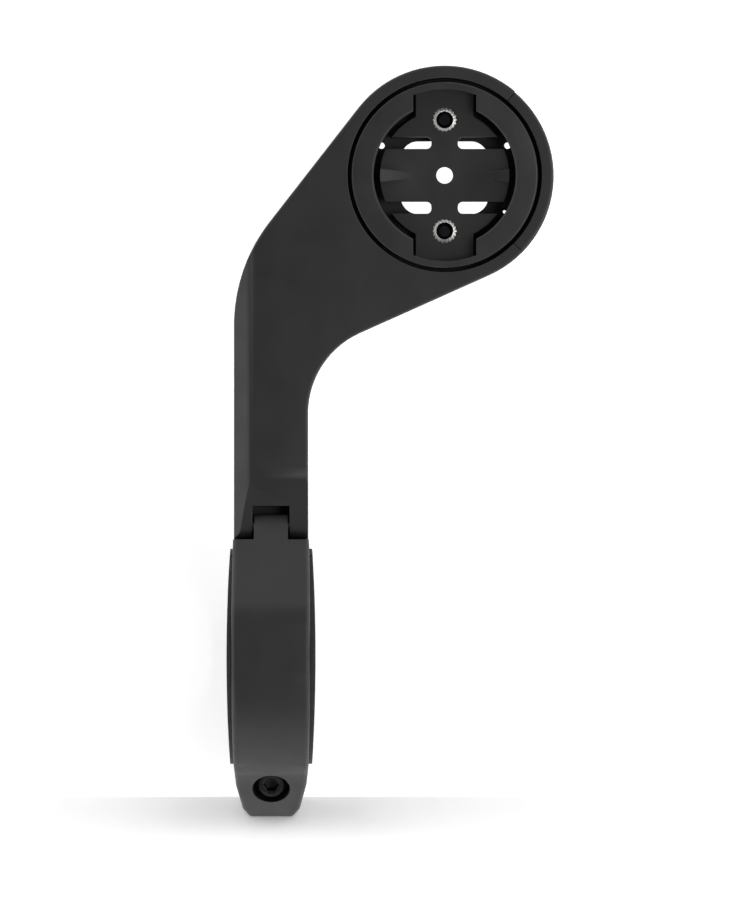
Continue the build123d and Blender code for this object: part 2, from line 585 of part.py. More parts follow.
def head_cutter():
    """What the head loses: the puck's pocket, relief, window, drains, screw ways and the rim's seat."""
    centre = Pos(HEAD_X, HEAD_Y)
    pocket = cylinder_z(HEAD_X, HEAD_Y, POCKET_R, POCKET_FLOOR_Z, CLEAR_OF_ALL)
    relief = upright(centre * relief_plan(), HEAD_BOTTOM_Z + RELIEF_OVER, CLEAR_OF_ALL)
    length = 2 * SLOT_OUT_Y - WINDOW_SHORT
    window = RectangleRounded(2 * (FLOOR_R - WINDOW_IN), length, WINDOW_CORNER_R)
    window = upright(centre * Pos(0, -WINDOW_SHORT / 2) * window, -CLEAR_OF_ALL, CLEAR_OF_ALL)
    cutter = pocket + relief + window + rim_prism(RIM_SEAT_Z, CLEAR_OF_ALL, HEAD_R + 1, 0)
    for angle, radius in DRAINS:
        x, y = point_on((HEAD_X, HEAD_Y), FLOOR_R + DRAIN_OUT, angle)
        cutter = cutter + cylinder_z(x, y, radius, -CLEAR_OF_ALL, CLEAR_OF_ALL)
    for side in (1, -1):
        x, y = at_head(0, side * INSERT_Y)
        cutter = cutter + cylinder_z(x, y, INSERT_BOSS_R + BOSS_CLEAR, INSERT_LOW_Z, CLEAR_OF_ALL)
        cutter = cutter + cylinder_z(x, y, PUCK_SCREW_R + SCREW_CLEAR, -CLEAR_OF_ALL, CLEAR_OF_ALL)
        cutter = cutter + cylinder_z(x, y, PUCK_SCREW_RECESS_R, -CLEAR_OF_ALL, PUCK_SCREW_SEAT_Z)
    for angle in RIM_PEG_ANGLES:
        x, y = point_on((HEAD_X, HEAD_Y), RIM_MID_R, angle)
        low = RIM_SEAT_Z - RIM_PEG_LEN - RIM_PEG_CLEAR
        cutter = cutter + cylinder_z(x, y, RIM_PEG_R + RIM_PEG_CLEAR, low, CLEAR_OF_ALL)
    return cutter


def rim_prism(low, high, outer_r, end_gap):
    """A sector of the head's rim, short of each end by end_gap."""
    gap = math.degrees(end_gap / POCKET_R)
    centre = (HEAD_X, HEAD_Y)
    start, end = RIM_START + gap, RIM_END - gap
    middle = (start + end) / 2
    face = outline(
        ThreePointArc(
            point_on(centre, outer_r, start),
            point_on(centre, outer_r, middle),
            point_on(centre, outer_r, end),
        ),
        Line(point_on(centre, outer_r, end), point_on(centre, POCKET_R, end)),
        ThreePointArc(
            point_on(centre, POCKET_R, end),
            point_on(centre, POCKET_R, middle),
            point_on(centre, POCKET_R, start),
        ),
        Line(point_on(centre, POCKET_R, start), point_on(centre, outer_r, start)),
    )
    return upright(face, low, high)


def build_front_rim():
    """Trim round the front of the head, pegged into the shell."""
    top = ARM_TOP_Z - RIM_DROP
    rim = rim_prism(RIM_SEAT_Z, top, RIM_R, RIM_GAP)
    rim = fillet(edges_at_height(rim, top).sort_by(SortBy.LENGTH)[-1:], RIM_EDGE_R)
    for angle in RIM_PEG_ANGLES:
        x, y = point_on((HEAD_X, HEAD_Y), RIM_MID_R, angle)
        rim = rim + cylinder_z(x, y, RIM_PEG_R, RIM_SEAT_Z - RIM_PEG_LEN, RIM_SEAT_Z + 1)
    return rim


def build_liner(upper, clamp_outline, flange_outline):
    """Half of the rubber liner: a sleeve in the clamp's bore, with a flange over each side."""
    clamp_width = upright(clamp_outline, -CLEAR_OF_ALL, CLEAR_OF_ALL)
    flange_width = upright(flange_outline, -CLEAR_OF_ALL, CLEAR_OF_ALL)
    sleeve = cylinder_x(0, 0, CLAMP_BORE_R, CLEAR_OF_ALL) & clamp_width
    flange = (cylinder_x(0, 0, FLANGE_R, CLEAR_OF_ALL) & flange_width) - clamp_width
    liner = sleeve + flange - cylinder_x(0, 0, LINER_BORE_R, CLEAR_OF_ALL)
    return liner & half_of_clamp(upper, 2 * LINER_GAP)


def build_hinge_pin():
    """Pin, pressed in the ears and free in the knuckle."""
    return cylinder_x(HINGE_Y, HINGE_Z, PIN_R, ARM_HALF_W - PIN_END_INSET)


def build_clamp_screw():
    """M3 socket cap screw of the clamp."""
    seat = SCREW_SEAT_V + WASHER_T
    top = seat + SCREW_HEAD_H
    head = on_screw_axis(Circle(SCREW_HEAD_R), seat, top)
    head = chamfer(head.faces().sort_by(SCREW_AXIS_LINE)[-1].edges(), SCREW_HEAD_EDGE)
    shank = on_screw_axis(Circle(SCREW_R), seat - SCREW_LEN, seat + 1)
    shank = chamfer(shank.faces().sort_by(SCREW_AXIS_LINE)[0].edges(), SCREW_TIP_EDGE)
    return head + shank - on_screw_axis(hexagon(SCREW_KEY_AF), top - SCREW_KEY_DEPTH, top + 1)


def build_clamp_washer():
    """Flat washer under the screw's head."""
    ring = Circle(WASHER_R) - Circle(SCREW_R + SCREW_CLEAR / 2)
    return on_screw_axis(ring, SCREW_SEAT_V, SCREW_SEAT_V + WASHER_T)


def build_clamp_nut():
    """Hexagon nut, held in the lower lug."""
    face = hexagon(NUT_AF) - Circle(SCREW_R + NUT_CLEAR)
    return on_screw_axis(face, NUT_SEAT_V - NUT_T, NUT_SEAT_V)


def floor_plate():
    """The puck's floor from above: a disc, run out to the wall at both entries, open round the fingers."""
    entry = Circle(CHANNEL_R) & Rectangle(2 * (ENTRY_HALF_W - ENTRY_GAP), 4 * PUCK_R)
    face = Circle(FLOOR_R) + entry - Circle(CENTRE_HOLE_R)
    for side in (1, -1):
        opening = Pos(side * (FINGER_ROOT_X + FLOOR_R), 0) * Rectangle(2 * FLOOR_R, 2 * SLOT_OUT_Y)
        corners = opening.vertices().sort_by(Axis.X)
        root = corners[:2] if side > 0 else corners[-2:]
        face = face - fillet(root, SLOT_END_R)
    return face


def build_puck():
    """Quarter-turn socket: wall, two lips, floor, and the hub that carries the fingers."""
    low, top = POCKET_FLOOR_Z, ARM_TOP_Z
    centre = Pos(HEAD_X, HEAD_Y)
    wall = upright(centre * (Circle(PUCK_R) - Circle(CHANNEL_R)), low, top)
    wall = fillet(edges_at_height(wall, top).sort_by(SortBy.LENGTH)[-1:], PUCK_EDGE_R)
    lips = Circle(CHANNEL_R) - Circle(LIP_R)
    lips = upright(centre * lips, top - LIP_T, top)
    lips = chamfer(edges_at_height(lips, top).sort_by(SortBy.LENGTH)[:1], LIP_EDGE)
    lips = lips - upright(centre * Rectangle(2 * ENTRY_HALF_W, 4 * PUCK_R), low, top)
    puck = wall + lips + upright(centre * floor_plate(), FLOOR_Z - FLOOR_T, FLOOR_Z)
    for side in (1, -1):
        x, y = at_head(0, side * INSERT_Y)
        puck = puck + cylinder_z(x, y, INSERT_BOSS_R, INSERT_LOW_Z, FLOOR_Z)
        puck = puck - upright(Pos(x, y) * knurled_disc(), INSERT_LOW_Z - 1, FLOOR_Z + 1)
    return puck


def knurled_disc():
    """A disc with a toothed edge."""
    corners = []
    for index in range(2 * KNURL_COUNT):
        radius = INSERT_R - KNURL_DEPTH * (index % 2)
        corners.append(point_on((0, 0), radius, index * 180 / KNURL_COUNT))
    return make_face(Polyline(*corners, close=True))


def build_finger(side):
    """Spring finger with its detent ramp; side is 1 on the right and -1 on the left."""
    strip = Pos(side * (FINGER_ROOT_X + FINGER_R), 0) * Rectangle(2 * FINGER_R, 2 * FINGER_HALF_W)
    face = Circle(FINGER_R) & strip
    half_r = SLOT_END_R / 2
    for edge in (1, -1):
        flare = Rectangle(SLOT_END_R, SLOT_END_R) - Pos(side * half_r, edge * half_r) * Circle(SLOT_END_R)
        face = face + Pos(side * (FINGER_ROOT_X + half_r), edge * (FINGER_HALF_W + half_r)) * flare
    finger = upright(Pos(HEAD_X, HEAD_Y) * face, FLOOR_Z - FINGER_T, FLOOR_Z)
    run = RAMP_LEN_RIGHT if side > 0 else RAMP_LEN_LEFT
    start = FINGER_R - run
    profile = make_face(Polyline((start, 0), (FINGER_R, 0), (FINGER_R, RAMP_H), (start, 0)))
    ramp = extrude(Plane.XZ * profile, RAMP_HALF_W, both=True)
    plan = make_face(Polyline(
        (start, -RAMP_HALF_W * RAMP_TAPER),
        (FINGER_R, -RAMP_HALF_W),
        (FINGER_R, RAMP_HALF_W),
        (start, RAMP_HALF_W * RAMP_TAPER),
        close=True,
    ))
    ramp = ramp & upright(plan & Circle(FINGER_R), 0, RAMP_H)
    turn = 0 if side > 0 else 180
    return finger + Pos(HEAD_X, HEAD_Y, FLOOR_Z) * Rot(0, 0, turn) * ramp


def build_insert(side):
    """Knurled brass insert with an M3 bore, in the puck's boss."""
    x, y = at_head(0, side * INSERT_Y)
    face = knurled_disc() - Circle(PUCK_SCREW_R + PIN_RUN_CLEAR)
    return upright(Pos(x, y) * face, INSERT_LOW_Z, FLOOR_Z)


def build_puck_screw(side):
    """Pan head screw from under the head into an insert."""
    x, y = at_head(0, side * INSERT_Y)
    low = PUCK_SCREW_SEAT_Z - PUCK_SCREW_HEAD_H
    screw = cylinder_z(x, y, PUCK_SCREW_HEAD_R, low, PUCK_SCREW_SEAT_Z)
    screw = fillet(edges_at_height(screw, low), PUCK_SCREW_EDGE_R)
    screw = screw + cylinder_z(x, y, PUCK_SCREW_R, low + PUCK_SCREW_KEY_DEPTH, PUCK_SCREW_END_Z)
    return screw - upright(Pos(x, y) * hexagon(PUCK_SCREW_KEY_AF), low - 1, low + PUCK_SCREW_KEY_DEPTH)


def write(name, shape):
    """Write one node."""
    export_step(shape, "parts/" + name + ".step")


def main():
    """Build each node and write it."""
    os.makedirs("parts", exist_ok=True)
    plan = arm_plan()
    clamp_outline = clamp_plan()
    flange_outline = flange_plan()
    write("arm", build_arm(clamp_outline, plan))
    write("front_rim", build_front_rim())
    write("clamp_strap", build_strap(clamp_outline))
    write("upper_liner", build_liner(True, clamp_outline, flange_outline))
    write("lower_liner", build_liner(False, clamp_outline, flange_outline))
    write("hinge_pin", build_hinge_pin())
    write("clamp_screw", build_clamp_screw())
    write("clamp_washer", build_clamp_washer())
    write("clamp_nut", build_clamp_nut())
    write("puck", build_puck())
    write("detent_finger_left", build_finger(-1))
    write("detent_finger_right", build_finger(1))
    write("insert_front", build_insert(1))
    write("insert_rear", build_insert(-1))
    write("puck_screw_front", build_puck_screw(1))
    write("puck_screw_rear", build_puck_screw(-1))


main()
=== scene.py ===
"""Looks of an out-front handlebar mount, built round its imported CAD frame.

Everything is in metres in the frame's own axes: +X along the handlebar, +Y forward along the arm,
+Z up out of the computer's socket.
"""

import json
import logging
import math
from collections.abc import Callable, Sequence
from dataclasses import dataclass, field
from enum import Enum
from typing import Any

import bmesh
import bpy
from mathutils import Matrix, Vector

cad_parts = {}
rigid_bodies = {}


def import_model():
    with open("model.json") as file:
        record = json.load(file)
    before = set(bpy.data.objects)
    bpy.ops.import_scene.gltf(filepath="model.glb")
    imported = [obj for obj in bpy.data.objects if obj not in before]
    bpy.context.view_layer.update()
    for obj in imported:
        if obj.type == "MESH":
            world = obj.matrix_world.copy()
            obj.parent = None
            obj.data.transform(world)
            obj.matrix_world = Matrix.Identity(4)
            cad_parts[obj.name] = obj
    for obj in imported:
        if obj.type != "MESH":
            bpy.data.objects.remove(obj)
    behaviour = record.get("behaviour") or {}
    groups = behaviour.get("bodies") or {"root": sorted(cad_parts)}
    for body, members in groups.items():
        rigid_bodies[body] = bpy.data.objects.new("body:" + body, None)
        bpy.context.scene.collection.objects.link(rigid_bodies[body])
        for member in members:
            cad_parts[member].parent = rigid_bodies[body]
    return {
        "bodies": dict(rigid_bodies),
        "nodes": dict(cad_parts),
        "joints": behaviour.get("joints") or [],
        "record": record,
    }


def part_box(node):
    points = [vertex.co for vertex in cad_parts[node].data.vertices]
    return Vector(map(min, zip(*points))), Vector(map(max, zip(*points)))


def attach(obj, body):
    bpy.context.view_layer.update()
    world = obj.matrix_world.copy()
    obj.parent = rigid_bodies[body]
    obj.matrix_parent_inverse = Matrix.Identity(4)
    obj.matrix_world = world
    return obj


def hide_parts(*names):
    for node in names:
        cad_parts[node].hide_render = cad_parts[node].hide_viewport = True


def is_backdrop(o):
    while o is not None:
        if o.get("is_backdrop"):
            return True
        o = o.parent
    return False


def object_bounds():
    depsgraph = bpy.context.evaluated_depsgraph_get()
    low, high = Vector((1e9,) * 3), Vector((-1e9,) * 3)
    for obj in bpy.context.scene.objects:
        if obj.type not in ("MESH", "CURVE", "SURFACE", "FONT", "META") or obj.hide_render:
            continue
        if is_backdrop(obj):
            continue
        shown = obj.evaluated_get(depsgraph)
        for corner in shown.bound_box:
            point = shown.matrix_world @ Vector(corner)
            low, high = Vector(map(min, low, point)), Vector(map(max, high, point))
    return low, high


LOG = logging.getLogger("handlebar_mount")
MM = 0.001
TAU = 2.0 * math.pi

Ring = list[Vector]
Wave = Callable[[float, float], float]


class Body(Enum):
    """The bodies that pieces ride on."""

    MOUNT = "mount_body"
    STRAP = "strap_body"
    SCREW = "screw_body"
    LEFT_FINGER = "finger_left_body"
    RIGHT_FINGER = "finger_right_body"


class Slot(Enum):
    """The record's material slots."""

    NYLON = "nylon_black"
    TRIM = "trim_black"
    PUCK = "puck_black"
    RUBBER = "liner_rubber"
    BLACK_SCREW = "screw_black_oxide"
    PIN = "pin_steel"
    ZINC = "zinc_steel"
    INSERT = "insert_nickel"


# ---- colours and nodes ----------------------------------------------------------------
def linear(hex_colour: str) -> tuple[float, float, float, float]:
    """Turn an sRGB hex value into linear RGBA.

    Args:
        hex_colour: The colour as "#RRGGBB".

    Returns:
        Red, green, blue and an alpha of 1, linear.
    """
    values = [int(hex_colour[i : i + 2], 16) / 255 for i in (1, 3, 5)]
    red, green, blue = (v / 12.92 if v <= 0.04045 else ((v + 0.055) / 1.055) ** 2.4 for v in values)
    return red, green, blue, 1.0


def per_metre(size_mm: float) -> float:
    """A pattern's scale on coordinates in metres, from the real size of one feature in mm."""
    return 1.0 / (size_mm * MM)


def add_node(
    tree: bpy.types.NodeTree,
    kind: str,
    settings: dict[str, Any] | None = None,
    values: dict[str | int, Any] | None = None,
    links: dict[str | int, bpy.types.NodeSocket] | None = None,
) -> bpy.types.Node:
    """Add one node with its settings, its inputs' values and its links.

    Args:
        tree: The node tree that gets it.
        kind: Blender's name for the kind of node.
        settings: Properties of the node itself.
        values: Values of inputs, by name or number.
        links: Sockets to link to inputs, by name or number.

    Returns:
        The new node.
    """
    node = tree.nodes.new(kind)
    for key, value in (settings or {}).items():
        setattr(node, key, value)
    for key, value in (values or {}).items():
        node.inputs[key].default_value = value
    for key, socket in (links or {}).items():
        tree.links.new(socket, node.inputs[key])
    return node


# ---- finishes -------------------------------------------------------------------------
@dataclass(frozen=True)
class Finish:
    """A real material with the surface that its making gave it."""

    name: str
    colour: str
    roughness: tuple[float, float]

    def make(self) -> bpy.types.Material:
        """Build the material, or return it if it is there."""
        made = bpy.data.materials.get(self.name)
        if made is None:
            made = bpy.data.materials.new(self.name)
            made.use_nodes = True
            made.node_tree.nodes.clear()
            self.fill(made.node_tree)
        return made

    def fill(self, tree: bpy.types.NodeTree) -> None:
        """Add the nodes; each kind of finish has its own."""
        raise NotImplementedError

    def pattern(
        self,
        tree: bpy.types.NodeTree,
        size_mm: float,
        detail: float = 2.0,
        stretch: tuple[float, float, float] = (1.0, 1.0, 1.0),
    ) -> bpy.types.NodeSocket:
        """A noise of one real size on the piece's own coordinates.

        Args:
            tree: The material's tree.
            size_mm: The size of one feature.
            detail: How many finer octaves it has.
            stretch: The size of a feature along each axis, times size_mm.

        Returns:
            The noise, from 0 to 1.
        """
        place = add_node(tree, "ShaderNodeTexCoord").outputs["Object"]
        scaled = add_node(
            tree,
            "ShaderNodeMapping",
            values={"Scale": tuple(1.0 / s for s in stretch)},
            links={"Vector": place},
        )
        noise = add_node(
            tree,
            "ShaderNodeTexNoise",
            values={"Scale": per_metre(size_mm), "Detail": detail},
            links={"Vector": scaled.outputs["Vector"]},
        )
        return noise.outputs["Fac"]

    def spread(
        self, tree: bpy.types.NodeTree, factor: bpy.types.NodeSocket, low: float, high: float
    ) -> bpy.types.NodeSocket:
        """Map the middle of a noise's range on to two values."""
        ranged = add_node(
            tree,
            "ShaderNodeMapRange",
            values={"From Min": 0.3, "From Max": 0.7, "To Min": low, "To Max": high},
            links={"Value": factor},
        )
        return ranged.outputs["Result"]

    def mixed(
        self,
        tree: bpy.types.NodeTree,
        factor: bpy.types.NodeSocket,
        first: bpy.types.NodeSocket | str,
        second: str,
    ) -> bpy.types.NodeSocket:
        """Mix two colours by a factor.

        Args:
            tree: The material's tree.
            factor: 0 for the first colour and 1 for the second.
            first: A colour's socket, or a hex value.
            second: A hex value.

        Returns:
            The mixed colour.
        """
        node = add_node(
            tree,
            "ShaderNodeMix",
            settings={"data_type": "RGBA"},
            values={7: linear(second)},
            links={0: factor},
        )
        if isinstance(first, str):
            node.inputs[6].default_value = linear(first)
        else:
            tree.links.new(first, node.inputs[6])
        return node.outputs[2]

    def rounded(self, tree: bpy.types.NodeTree, edge_mm: float) -> bpy.types.NodeSocket:
        """The normal with every sharp edge rounded to a radius."""
        bevel = add_node(tree, "ShaderNodeBevel", settings={"samples": 6}, values={"Radius": edge_mm * MM})
        return bevel.outputs["Normal"]

    def edges(self, tree: bpy.types.NodeTree, normal: bpy.types.NodeSocket) -> bpy.types.NodeSocket:
        """1 along the rounded edges and 0 away from them."""
        flat = add_node(tree, "ShaderNodeNewGeometry").outputs["Normal"]
        both = add_node(
            tree, "ShaderNodeVectorMath", {"operation": "DOT_PRODUCT"}, links={0: normal, 1: flat}
        )
        ranged = add_node(
            tree,
            "ShaderNodeMapRange",
            values={"From Min": 0.995, "From Max": 0.86, "To Min": 0.0, "To Max": 1.0},
            links={"Value": both.outputs["Value"]},
        )
        return ranged.outputs["Result"]

    def bumped(
        self,
        tree: bpy.types.NodeTree,
        height: bpy.types.NodeSocket,
        depth_mm: float,
        normal: bpy.types.NodeSocket | None,
    ) -> bpy.types.NodeSocket:
        """A normal with a relief of one real depth."""
        bump = add_node(
            tree,
            "ShaderNodeBump",
            values={"Strength": 1.0, "Distance": depth_mm * MM},
            links={"Height": height},
        )
        if normal is not None:
            tree.links.new(normal, bump.inputs["Normal"])
        return bump.outputs["Normal"]

    def close(
        self,
        tree: bpy.types.NodeTree,
        links: dict[str | int, bpy.types.NodeSocket],
        values: dict[str | int, Any],
    ) -> None:
        """End the tree in a Principled shader."""
        shader = add_node(tree, "ShaderNodeBsdfPrincipled", values=values, links=links)
        add_node(tree, "ShaderNodeOutputMaterial", links={"Surface": shader.outputs["BSDF"]})


@dataclass(frozen=True)
class SparkTexturedPlastic(Finish):
    """A moulded plastic whose mould was spark-eroded: fine matt grain, and edges lighter in the colour,
    partly wear and partly a painted highlight.
    """

    flow: str
    edge_wear_and_highlight: str
    grain_mm: float
    grain_depth_mm: float
    flow_mm: float
    edge_mm: float
    ior: float
    gloss: float = 0.5
    roots_mm: tuple[float, ...] = ()

    def smooth_at_roots(
        self, tree: bpy.types.NodeTree, rounded: bpy.types.NodeSocket
    ) -> bpy.types.NodeSocket:
        """The rounded normal, but plain where a spring finger grows out of the hub.

        Args:
            tree: The material's tree.
            rounded: The normal with rounded edges.

        Returns:
            The normal without an edge at each root.
        """
        if not self.roots_mm:
            return rounded
        spot = add_node(tree, "ShaderNodeTexCoord").outputs["Object"]
        place = add_node(tree, "ShaderNodeSeparateXYZ", links={0: spot}).outputs["X"]
        plain = add_node(tree, "ShaderNodeNewGeometry").outputs["Normal"]
        for root in self.roots_mm:
            near = add_node(
                tree,
                "ShaderNodeMath",
                {"operation": "COMPARE"},
                values={1: root * MM, 2: 1.5 * self.edge_mm * MM},
                links={0: place},
            )
            mix = add_node(
                tree,
                "ShaderNodeMix",
                settings={"data_type": "VECTOR"},
                links={0: near.outputs[0], 4: rounded, 5: plain},
            )
            rounded = mix.outputs[1]
        return rounded

    def fill(self, tree: bpy.types.NodeTree) -> None:
        """Flow lines in the colour, grain in the relief, and edges lightened in the colour as wear and a
        painted highlight.
        """
        flow = self.spread(tree, self.pattern(tree, self.flow_mm, 3.0, (1.0, 3.0, 1.0)), 0.0, 1.0)
        grain = self.pattern(tree, self.grain_mm, 2.0)
        rounded = self.smooth_at_roots(tree, self.rounded(tree, self.edge_mm))
        edges = self.edges(tree, rounded)
        # The edges mask lightens the colour along every edge: partly wear, partly a painted highlight.
        colour = self.mixed(tree, edges, self.mixed(tree, flow, self.colour, self.flow), self.edge_wear_and_highlight)
        handled = self.spread(tree, self.pattern(tree, 6.0, 2.0), *self.roughness)
        self.close(
            tree,
            links={
                "Base Color": colour,
                "Roughness": handled,
                "Normal": self.bumped(tree, grain, self.grain_depth_mm, rounded),
            },
            values={"IOR": self.ior, "Specular IOR Level": self.gloss},
        )


@dataclass(frozen=True)
class MouldedRubber(Finish):
    """A moulded rubber: dull, with a faint bloom of dust in its fine skin."""

    bloom: str
    grain_mm: float
    grain_depth_mm: float
    edge_mm: float

    def fill(self, tree: bpy.types.NodeTree) -> None:
        """Bloom in the colour and a skin in the relief."""
        bloom = self.spread(tree, self.pattern(tree, 2.5, 4.0), 0.0, 1.0)
        skin = self.pattern(tree, self.grain_mm, 3.0)
        rounded = self.rounded(tree, self.edge_mm)
        self.close(
            tree,
            links={
                "Base Color": self.mixed(tree, bloom, self.colour, self.bloom),
                "Roughness": self.spread(tree, skin, *self.roughness),
                "Normal": self.bumped(tree, skin, self.grain_depth_mm, rounded),
            },
            values={"IOR": 1.52},
        )


@dataclass(frozen=True)
class WorkedMetal(Finish):
    """A metal with a thin finish: a tint in patches, tool marks in the relief, and edges lightened in the
    colour as wear and a painted highlight.
    """

    tint: str
    edge_wear_and_highlight: str
    tint_mm: float
    mark_mm: float
    mark_stretch: tuple[float, float, float]
    mark_depth_mm: float
    edge_mm: float

    def fill(self, tree: bpy.types.NodeTree) -> None:
        """Tint and lightened edges (wear and a painted highlight) in the colour, tool marks in roughness and
        relief.
        """
        patches = self.spread(tree, self.pattern(tree, self.tint_mm, 3.0), 0.0, 1.0)
        marks = self.pattern(tree, self.mark_mm, 3.0, self.mark_stretch)
        rounded = self.rounded(tree, self.edge_mm)
        colour = self.mixed(tree, patches, self.colour, self.tint)
        self.close(
            tree,
            links={
                # Edges lightened in the colour: partly wear, partly a painted highlight.
                "Base Color": self.mixed(tree, self.edges(tree, rounded), colour, self.edge_wear_and_highlight),
                "Roughness": self.spread(tree, marks, *self.roughness),
                "Normal": self.bumped(tree, marks, self.mark_depth_mm, rounded),
            },
            values={"Metallic": 1.0},
        )


@dataclass(frozen=True)
class StudioPaper(Finish):
    """Pale seamless paper, which a camera sees as plain white where nothing shades it."""

    lift: float
    lights_object: bool = True

    def fill(self, tree: bpy.types.NodeTree) -> None:
        """Matt paper, lifted for camera, gloss and glass rays only, and clear from behind."""
        fibre = self.spread(tree, self.pattern(tree, 1.5, 2.0), 0.0, 1.0)
        matt = add_node(
            tree, "ShaderNodeBsdfDiffuse", links={"Color": self.mixed(tree, fibre, self.colour, "#FAFAFA")}
        )
        path = add_node(tree, "ShaderNodeLightPath").outputs
        seen = path["Is Camera Ray"]
        for kind in ("Is Glossy Ray", "Is Transmission Ray"):
            seen = add_node(
                tree, "ShaderNodeMath", {"operation": "MAXIMUM"}, links={0: seen, 1: path[kind]}
            ).outputs[0]
        raised = add_node(
            tree, "ShaderNodeMath", {"operation": "MULTIPLY"}, values={1: self.lift}, links={0: seen}
        )
        glow = add_node(tree, "ShaderNodeEmission", links={"Strength": raised.outputs[0]})
        lifted = add_node(tree, "ShaderNodeAddShader", links={0: matt.outputs[0], 1: glow.outputs[0]})
        hidden = add_node(tree, "ShaderNodeNewGeometry").outputs["Backfacing"]
        if not self.lights_object:
            unseen = add_node(
                tree,
                "ShaderNodeMath",
                {"operation": "SUBTRACT"},
                values={0: 1.0},
                links={1: path["Is Camera Ray"]},
            )
            hidden = add_node(
                tree, "ShaderNodeMath", {"operation": "MAXIMUM"}, links={0: hidden, 1: unseen.outputs[0]}
            ).outputs[0]
        clear = add_node(tree, "ShaderNodeBsdfTransparent")
        side = add_node(
            tree, "ShaderNodeMixShader", links={0: hidden, 1: lifted.outputs[0], 2: clear.outputs[0]}
        )
        add_node(tree, "ShaderNodeOutputMaterial", links={"Surface": side.outputs[0]})


# Glass-filled nylon from a spark-eroded mould: a matt black with grey glass fibres at the skin that
# follow the flow down the arm.  The real grain is about 0.05 mm; it is drawn at 0.3 mm to show.
NYLON = SparkTexturedPlastic(
    name="glass_filled_nylon_spark_moulded",
    colour="#161617",
    flow="#1B1B1C",
    # Edge colour: wear, and a painted highlight along the edges.
    edge_wear_and_highlight="#262627",
    roughness=(0.46, 0.56),
    grain_mm=0.3,
    grain_depth_mm=0.006,
    flow_mm=5.0,
    edge_mm=0.25,
    ior=1.53,
    gloss=0.45,
)
# The same nylon from a second mould with a finer grain: a little darker than the arm beside it.
TRIM_NYLON = SparkTexturedPlastic(
    name="nylon_trim_fine_spark_moulded",
    colour="#141415",
    flow="#18181A",
    edge_wear_and_highlight="#242425",
    roughness=(0.48, 0.56),
    grain_mm=0.22,
    grain_depth_mm=0.005,
    flow_mm=3.0,
    edge_mm=0.2,
    ior=1.53,
    gloss=0.45,
)
# Acetal from a ground mould: smoother and waxier than the nylon, with faint flow marks.  The hub and
# its two spring fingers are one moulding, so no edge shows where a finger starts.
ACETAL = SparkTexturedPlastic(
    name="acetal_ground_mould",
    colour="#202021",
    flow="#252527",
    edge_wear_and_highlight="#303031",
    roughness=(0.38, 0.46),
    grain_mm=0.5,
    grain_depth_mm=0.003,
    flow_mm=4.0,
    edge_mm=0.15,
    ior=1.48,
    roots_mm=(29.7, 34.6),
)
# EPDM rubber, compression moulded: dead matt, with a faint grey bloom.
RUBBER = MouldedRubber(
    name="epdm_rubber_moulded",
    colour="#1B1B1C",
    bloom="#252525",
    roughness=(0.62, 0.78),
    grain_mm=0.35,
    grain_depth_mm=0.008,
    edge_mm=0.2,
)
# Alloy steel, black oxide and oil: a deep satin black that turns grey on its corners, from wear and a painted
# highlight.
BLACK_STEEL = WorkedMetal(
    name="alloy_steel_black_oxide",
    colour="#242425",
    tint="#2F2F32",
    edge_wear_and_highlight="#55555A",
    roughness=(0.32, 0.46),
    tint_mm=1.6,
    mark_mm=0.25,
    mark_stretch=(1.0, 1.0, 1.0),
    mark_depth_mm=0.002,
    edge_mm=0.06,
)
# Hardened steel, centreless ground: bright, with fine marks round the pin.
GROUND_STEEL = WorkedMetal(
    name="hardened_steel_ground",
    colour="#B9BABD",
    tint="#A8A9AD",
    edge_wear_and_highlight="#D2D3D5",
    roughness=(0.18, 0.3),
    tint_mm=3.0,
    mark_mm=0.12,
    mark_stretch=(1.0, 8.0, 8.0),
    mark_depth_mm=0.001,
    edge_mm=0.08,
)
# Steel, zinc plated and clear passivated: bluish white with a faint warm cast in patches.
ZINC_STEEL = WorkedMetal(
    name="steel_zinc_plated",
    colour="#B4B9C0",
    tint="#BDBBB2",
    edge_wear_and_highlight="#D8DADC",
    roughness=(0.28, 0.4),
    tint_mm=1.2,
    mark_mm=0.3,
    mark_stretch=(1.0, 1.0, 1.0),
    mark_depth_mm=0.0015,
    edge_mm=0.06,
)
# Brass, turned, knurled and nickel plated: a faintly warm silver, lightest on the teeth's edges, where a
# painted highlight lightens the colour.
NICKEL_BRASS = WorkedMetal(
    name="brass_turned_nickel_plated",
    colour="#D6D5D1",
    tint="#C6C4BE",
    edge_wear_and_highlight="#F0EFEC",
    roughness=(0.22, 0.34),
    tint_mm=1.0,
    mark_mm=0.15,
    mark_stretch=(1.0, 1.0, 1.0),
    mark_depth_mm=0.002,
    edge_mm=0.08,
)
# Seamless background paper: matt, a shade off white, with a faint tooth.
PAPER = StudioPaper(name="background_paper_matt", colour="#F4F4F4", roughness=(1.0, 1.0), lift=0.5)
# The same paper in a second sheet that stands under the lug's end: lifted less, so that it keeps the
# lug's shade, and with no light of its own on the object.
STAND_PAPER = StudioPaper(
    name="stand_paper_matt", colour="#F4F4F4", roughness=(1.0, 1.0), lift=0.17, lights_object=False
)


# ---- meshes ---------------------------------------------------------------------------
def new_object(name: str, mesh: bpy.types.Mesh, finish: Finish) -> bpy.types.Object:
    """Link an object at the origin with one material."""
    mesh.materials.clear()
    mesh.materials.append(finish.make())
    made = bpy.data.objects.new(name, mesh)
    bpy.context.scene.collection.objects.link(made)
    return made


